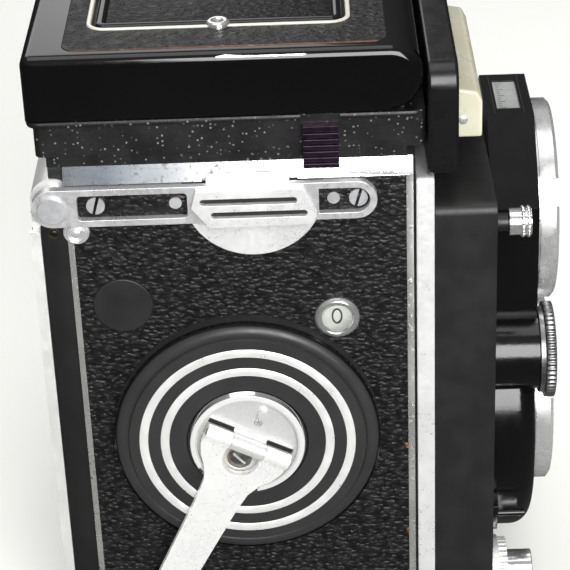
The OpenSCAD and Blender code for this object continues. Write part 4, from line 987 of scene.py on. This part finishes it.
def wheel_faces():
    """Dished faces with index marks on the two control wheels."""
    for tag, joint in (("aperture", "aperture_turn"), ("speed", "speed_turn")):
        centre = joint_place(joint)
        low, high = span(tag + "_wheel")
        place = about(forward(high.y), centre.x, centre.z)
        depth = high.y - low.y
        dish = [(0, depth - 1.35), (0, depth - 0.95), (0.4, depth - 0.85), (5.6, depth - 0.5),
                (6.0, depth - 0.7), (6.0, depth - 1.35)]
        make(tag + "_wheel_face", *loft(circle(7.7, 64), dish, place, closed=True), SEMI, tag + "_dial",
             "satin_black")
        marks = [loft(spoke(TURN * k / 12, 3.4, 6.3, 0.14), [(0, depth - 0.8), (0, depth - 0.48)], place)
                 for k in range(12)]
        make(tag + "_wheel_marks", *joined(*marks), PALE_INK, tag + "_dial", "dial_white")


# ---------------- knob side
def focus_details():
    """Scale ring with ticks and a turned centre cap on the focusing knob."""
    face = span("focus_knob")[1].x - 1
    place = about(outward_x(face, 1), FOCUS.y, FOCUS.z)
    ring = [(0, -0.05), (0, 0.1), (0.1, 0.16), (5.6, 0.16), (5.7, 0.1), (5.7, -0.05)]
    make("focus_scale", *loft(circle(17.7, 96), ring, place, closed=True), SATIN, "focus", "satin_black")
    ticks = [loft(spoke(TURN * k / 36, 15.4 if k % 3 else 13.6, 17.0, 0.13), [(0, 0.1), (0, 0.2)], place)
             for k in range(36)]
    make("focus_ticks", *joined(*ticks), PALE_INK, "focus", "dial_white")
    cap = [(0, -0.05), (0, 0.55), (0.3, 0.8), (2.2, 0.85), (2.6, 0.6), (9.4, 0.75)]
    cap_metal = turned("focus_cap_metal", (0.7, 0.7, 0.69), 0.25, FOCUS, 0)
    make("focus_cap", *loft(circle(11.6, 72), cap, place), cap_metal, "focus", "bare_aluminium")


hood_lid()
hood_rim()
lid_chip()
lid_leather()
finder_flap()
crank_flange()
crank_details()
counter_numeral()
strap_details(-1, "crank_side")
strap_details(1, "knob_side")
flash_clamp()
lens_rims()
scale_window()
diffuser_spring()
wheel_faces()
focus_details()


# ---------------- stage, light and camera
def stage():
    floor_look = Look("floor_paper", (0.86, 0.85, 0.82), roughness=0.8)
    tone = floor_look.mix(floor_look.noise(3, 2.0), (0.88, 0.87, 0.83), (0.84, 0.83, 0.79))
    floor_look.set("Base Color", tone)
    size = 3.0
    mesh = bpy.data.meshes.new("floor")
    corners = [(-size, -size, 0), (size, -size, 0), (size, size, 0), (-size, size, 0)]
    mesh.from_pydata([Vector(c) + Vector((0, 0, cad_box[0].z)) for c in corners], [], [(0, 1, 2, 3)])
    floor = bpy.data.objects.new("floor", mesh)
    mesh.materials.append(floor_look.material)
    bpy.context.scene.collection.objects.link(floor)
    floor.visible_glossy = False


def area(name, place, target, size, power, glossy=True):
    light = bpy.data.lights.new(name, "AREA")
    light.shape = "RECTANGLE"
    light.size, light.size_y = size
    light.energy = power
    lamp = bpy.data.objects.new(name, light)
    lamp.location = place
    lamp.visible_glossy = glossy
    lamp.rotation_euler = (Vector(target) - Vector(place)).to_track_quat("-Z", "Y").to_euler()
    bpy.context.scene.collection.objects.link(lamp)


def world():
    """A dark room with a dim ceiling in reflections, an even fill on matt surfaces, pale to the camera."""
    sky = bpy.data.worlds.new("studio")
    bpy.context.scene.world = sky
    sky.use_nodes = True
    nodes, links = sky.node_tree.nodes, sky.node_tree.links
    place = nodes.new("ShaderNodeTexCoord")
    parts = nodes.new("ShaderNodeSeparateXYZ")
    ramp = nodes.new("ShaderNodeValToRGB")
    links.new(place.outputs["Generated"], parts.inputs[0])
    half = nodes.new("ShaderNodeMapRange")
    half.inputs["From Min"].default_value = -1
    links.new(parts.outputs["Z"], half.inputs["Value"])
    links.new(half.outputs[0], ramp.inputs[0])
    stops = [(0.0, 0.1), (0.25, 0.06), (0.5, 0.03), (0.66, 0.1), (0.85, 0.24), (1.0, 0.34)]
    for element, (position, value) in zip(ramp.color_ramp.elements, (stops[0], stops[-1])):
        element.position = position
        element.color = (value, value, value, 1)
    for position, value in stops[1:-1]:
        ramp.color_ramp.elements.new(position).color = (value, value, value, 1)
    light_path = nodes.new("ShaderNodeLightPath")
    mix = nodes.new("ShaderNodeMix")
    mix.data_type = "RGBA"
    links.new(light_path.outputs["Is Camera Ray"], mix.inputs[0])
    links.new(ramp.outputs[0], mix.inputs[6])
    mix.inputs[7].default_value = (0.97, 0.97, 0.96, 1)
    fill = nodes.new("ShaderNodeMix")
    fill.data_type = "RGBA"
    links.new(light_path.outputs["Is Diffuse Ray"], fill.inputs[0])
    links.new(mix.outputs[2], fill.inputs[6])
    fill.inputs[7].default_value = (0.43, 0.44, 0.45, 1)
    links.new(fill.outputs[2], nodes["Background"].inputs[0])
    nodes["Background"].inputs[1].default_value = 1.0


def camera():
    """View of the crank side from above, as a long lens sees it."""
    eye = Vector((-419.59, -15.08, 310.82)) * MM
    yaw, pitch, roll = (math.radians(a) for a in (0.914, 29.594, 2.317))
    forward_dir = Vector((math.cos(pitch) * math.cos(yaw), math.cos(pitch) * math.sin(yaw), -math.sin(pitch)))
    level = Vector((math.sin(yaw), -math.cos(yaw), 0))
    down = forward_dir.cross(level)
    right = math.cos(roll) * level + math.sin(roll) * down
    low = -math.sin(roll) * level + math.cos(roll) * down
    lens = bpy.data.cameras.new("camera")
    lens.lens, lens.sensor_width = 136.8, 36.0
    lens.clip_start = 0.01
    eye_object = bpy.data.objects.new("camera", lens)
    eye_object.matrix_world = Matrix((right, -low, -forward_dir)).transposed().to_4x4()
    eye_object.matrix_world.translation = eye
    bpy.context.scene.collection.objects.link(eye_object)
    bpy.context.scene.camera = eye_object


stage()
world()
area("key", (-0.85, -0.2, 0.5), (0, 0, 0.08), (0.6, 0.6), 12.5)
area("top", (0.0, 0.1, 0.95), (0, 0, 0.1), (0.6, 0.6), 2.0)
area("rear_fill", (-0.3, 0.7, 0.4), (0, 0, 0.07), (0.3, 0.5), 2.4, glossy=False)
area("front_fill", (-0.2, -0.8, 0.35), (0, 0, 0.07), (0.4, 0.5), 2.8, glossy=False)
area("far_fill", (0.7, 0.2, 0.6), (0, 0, 0.07), (0.5, 0.5), 1.3)
camera()
bpy.context.scene.view_settings.view_transform = "Standard"
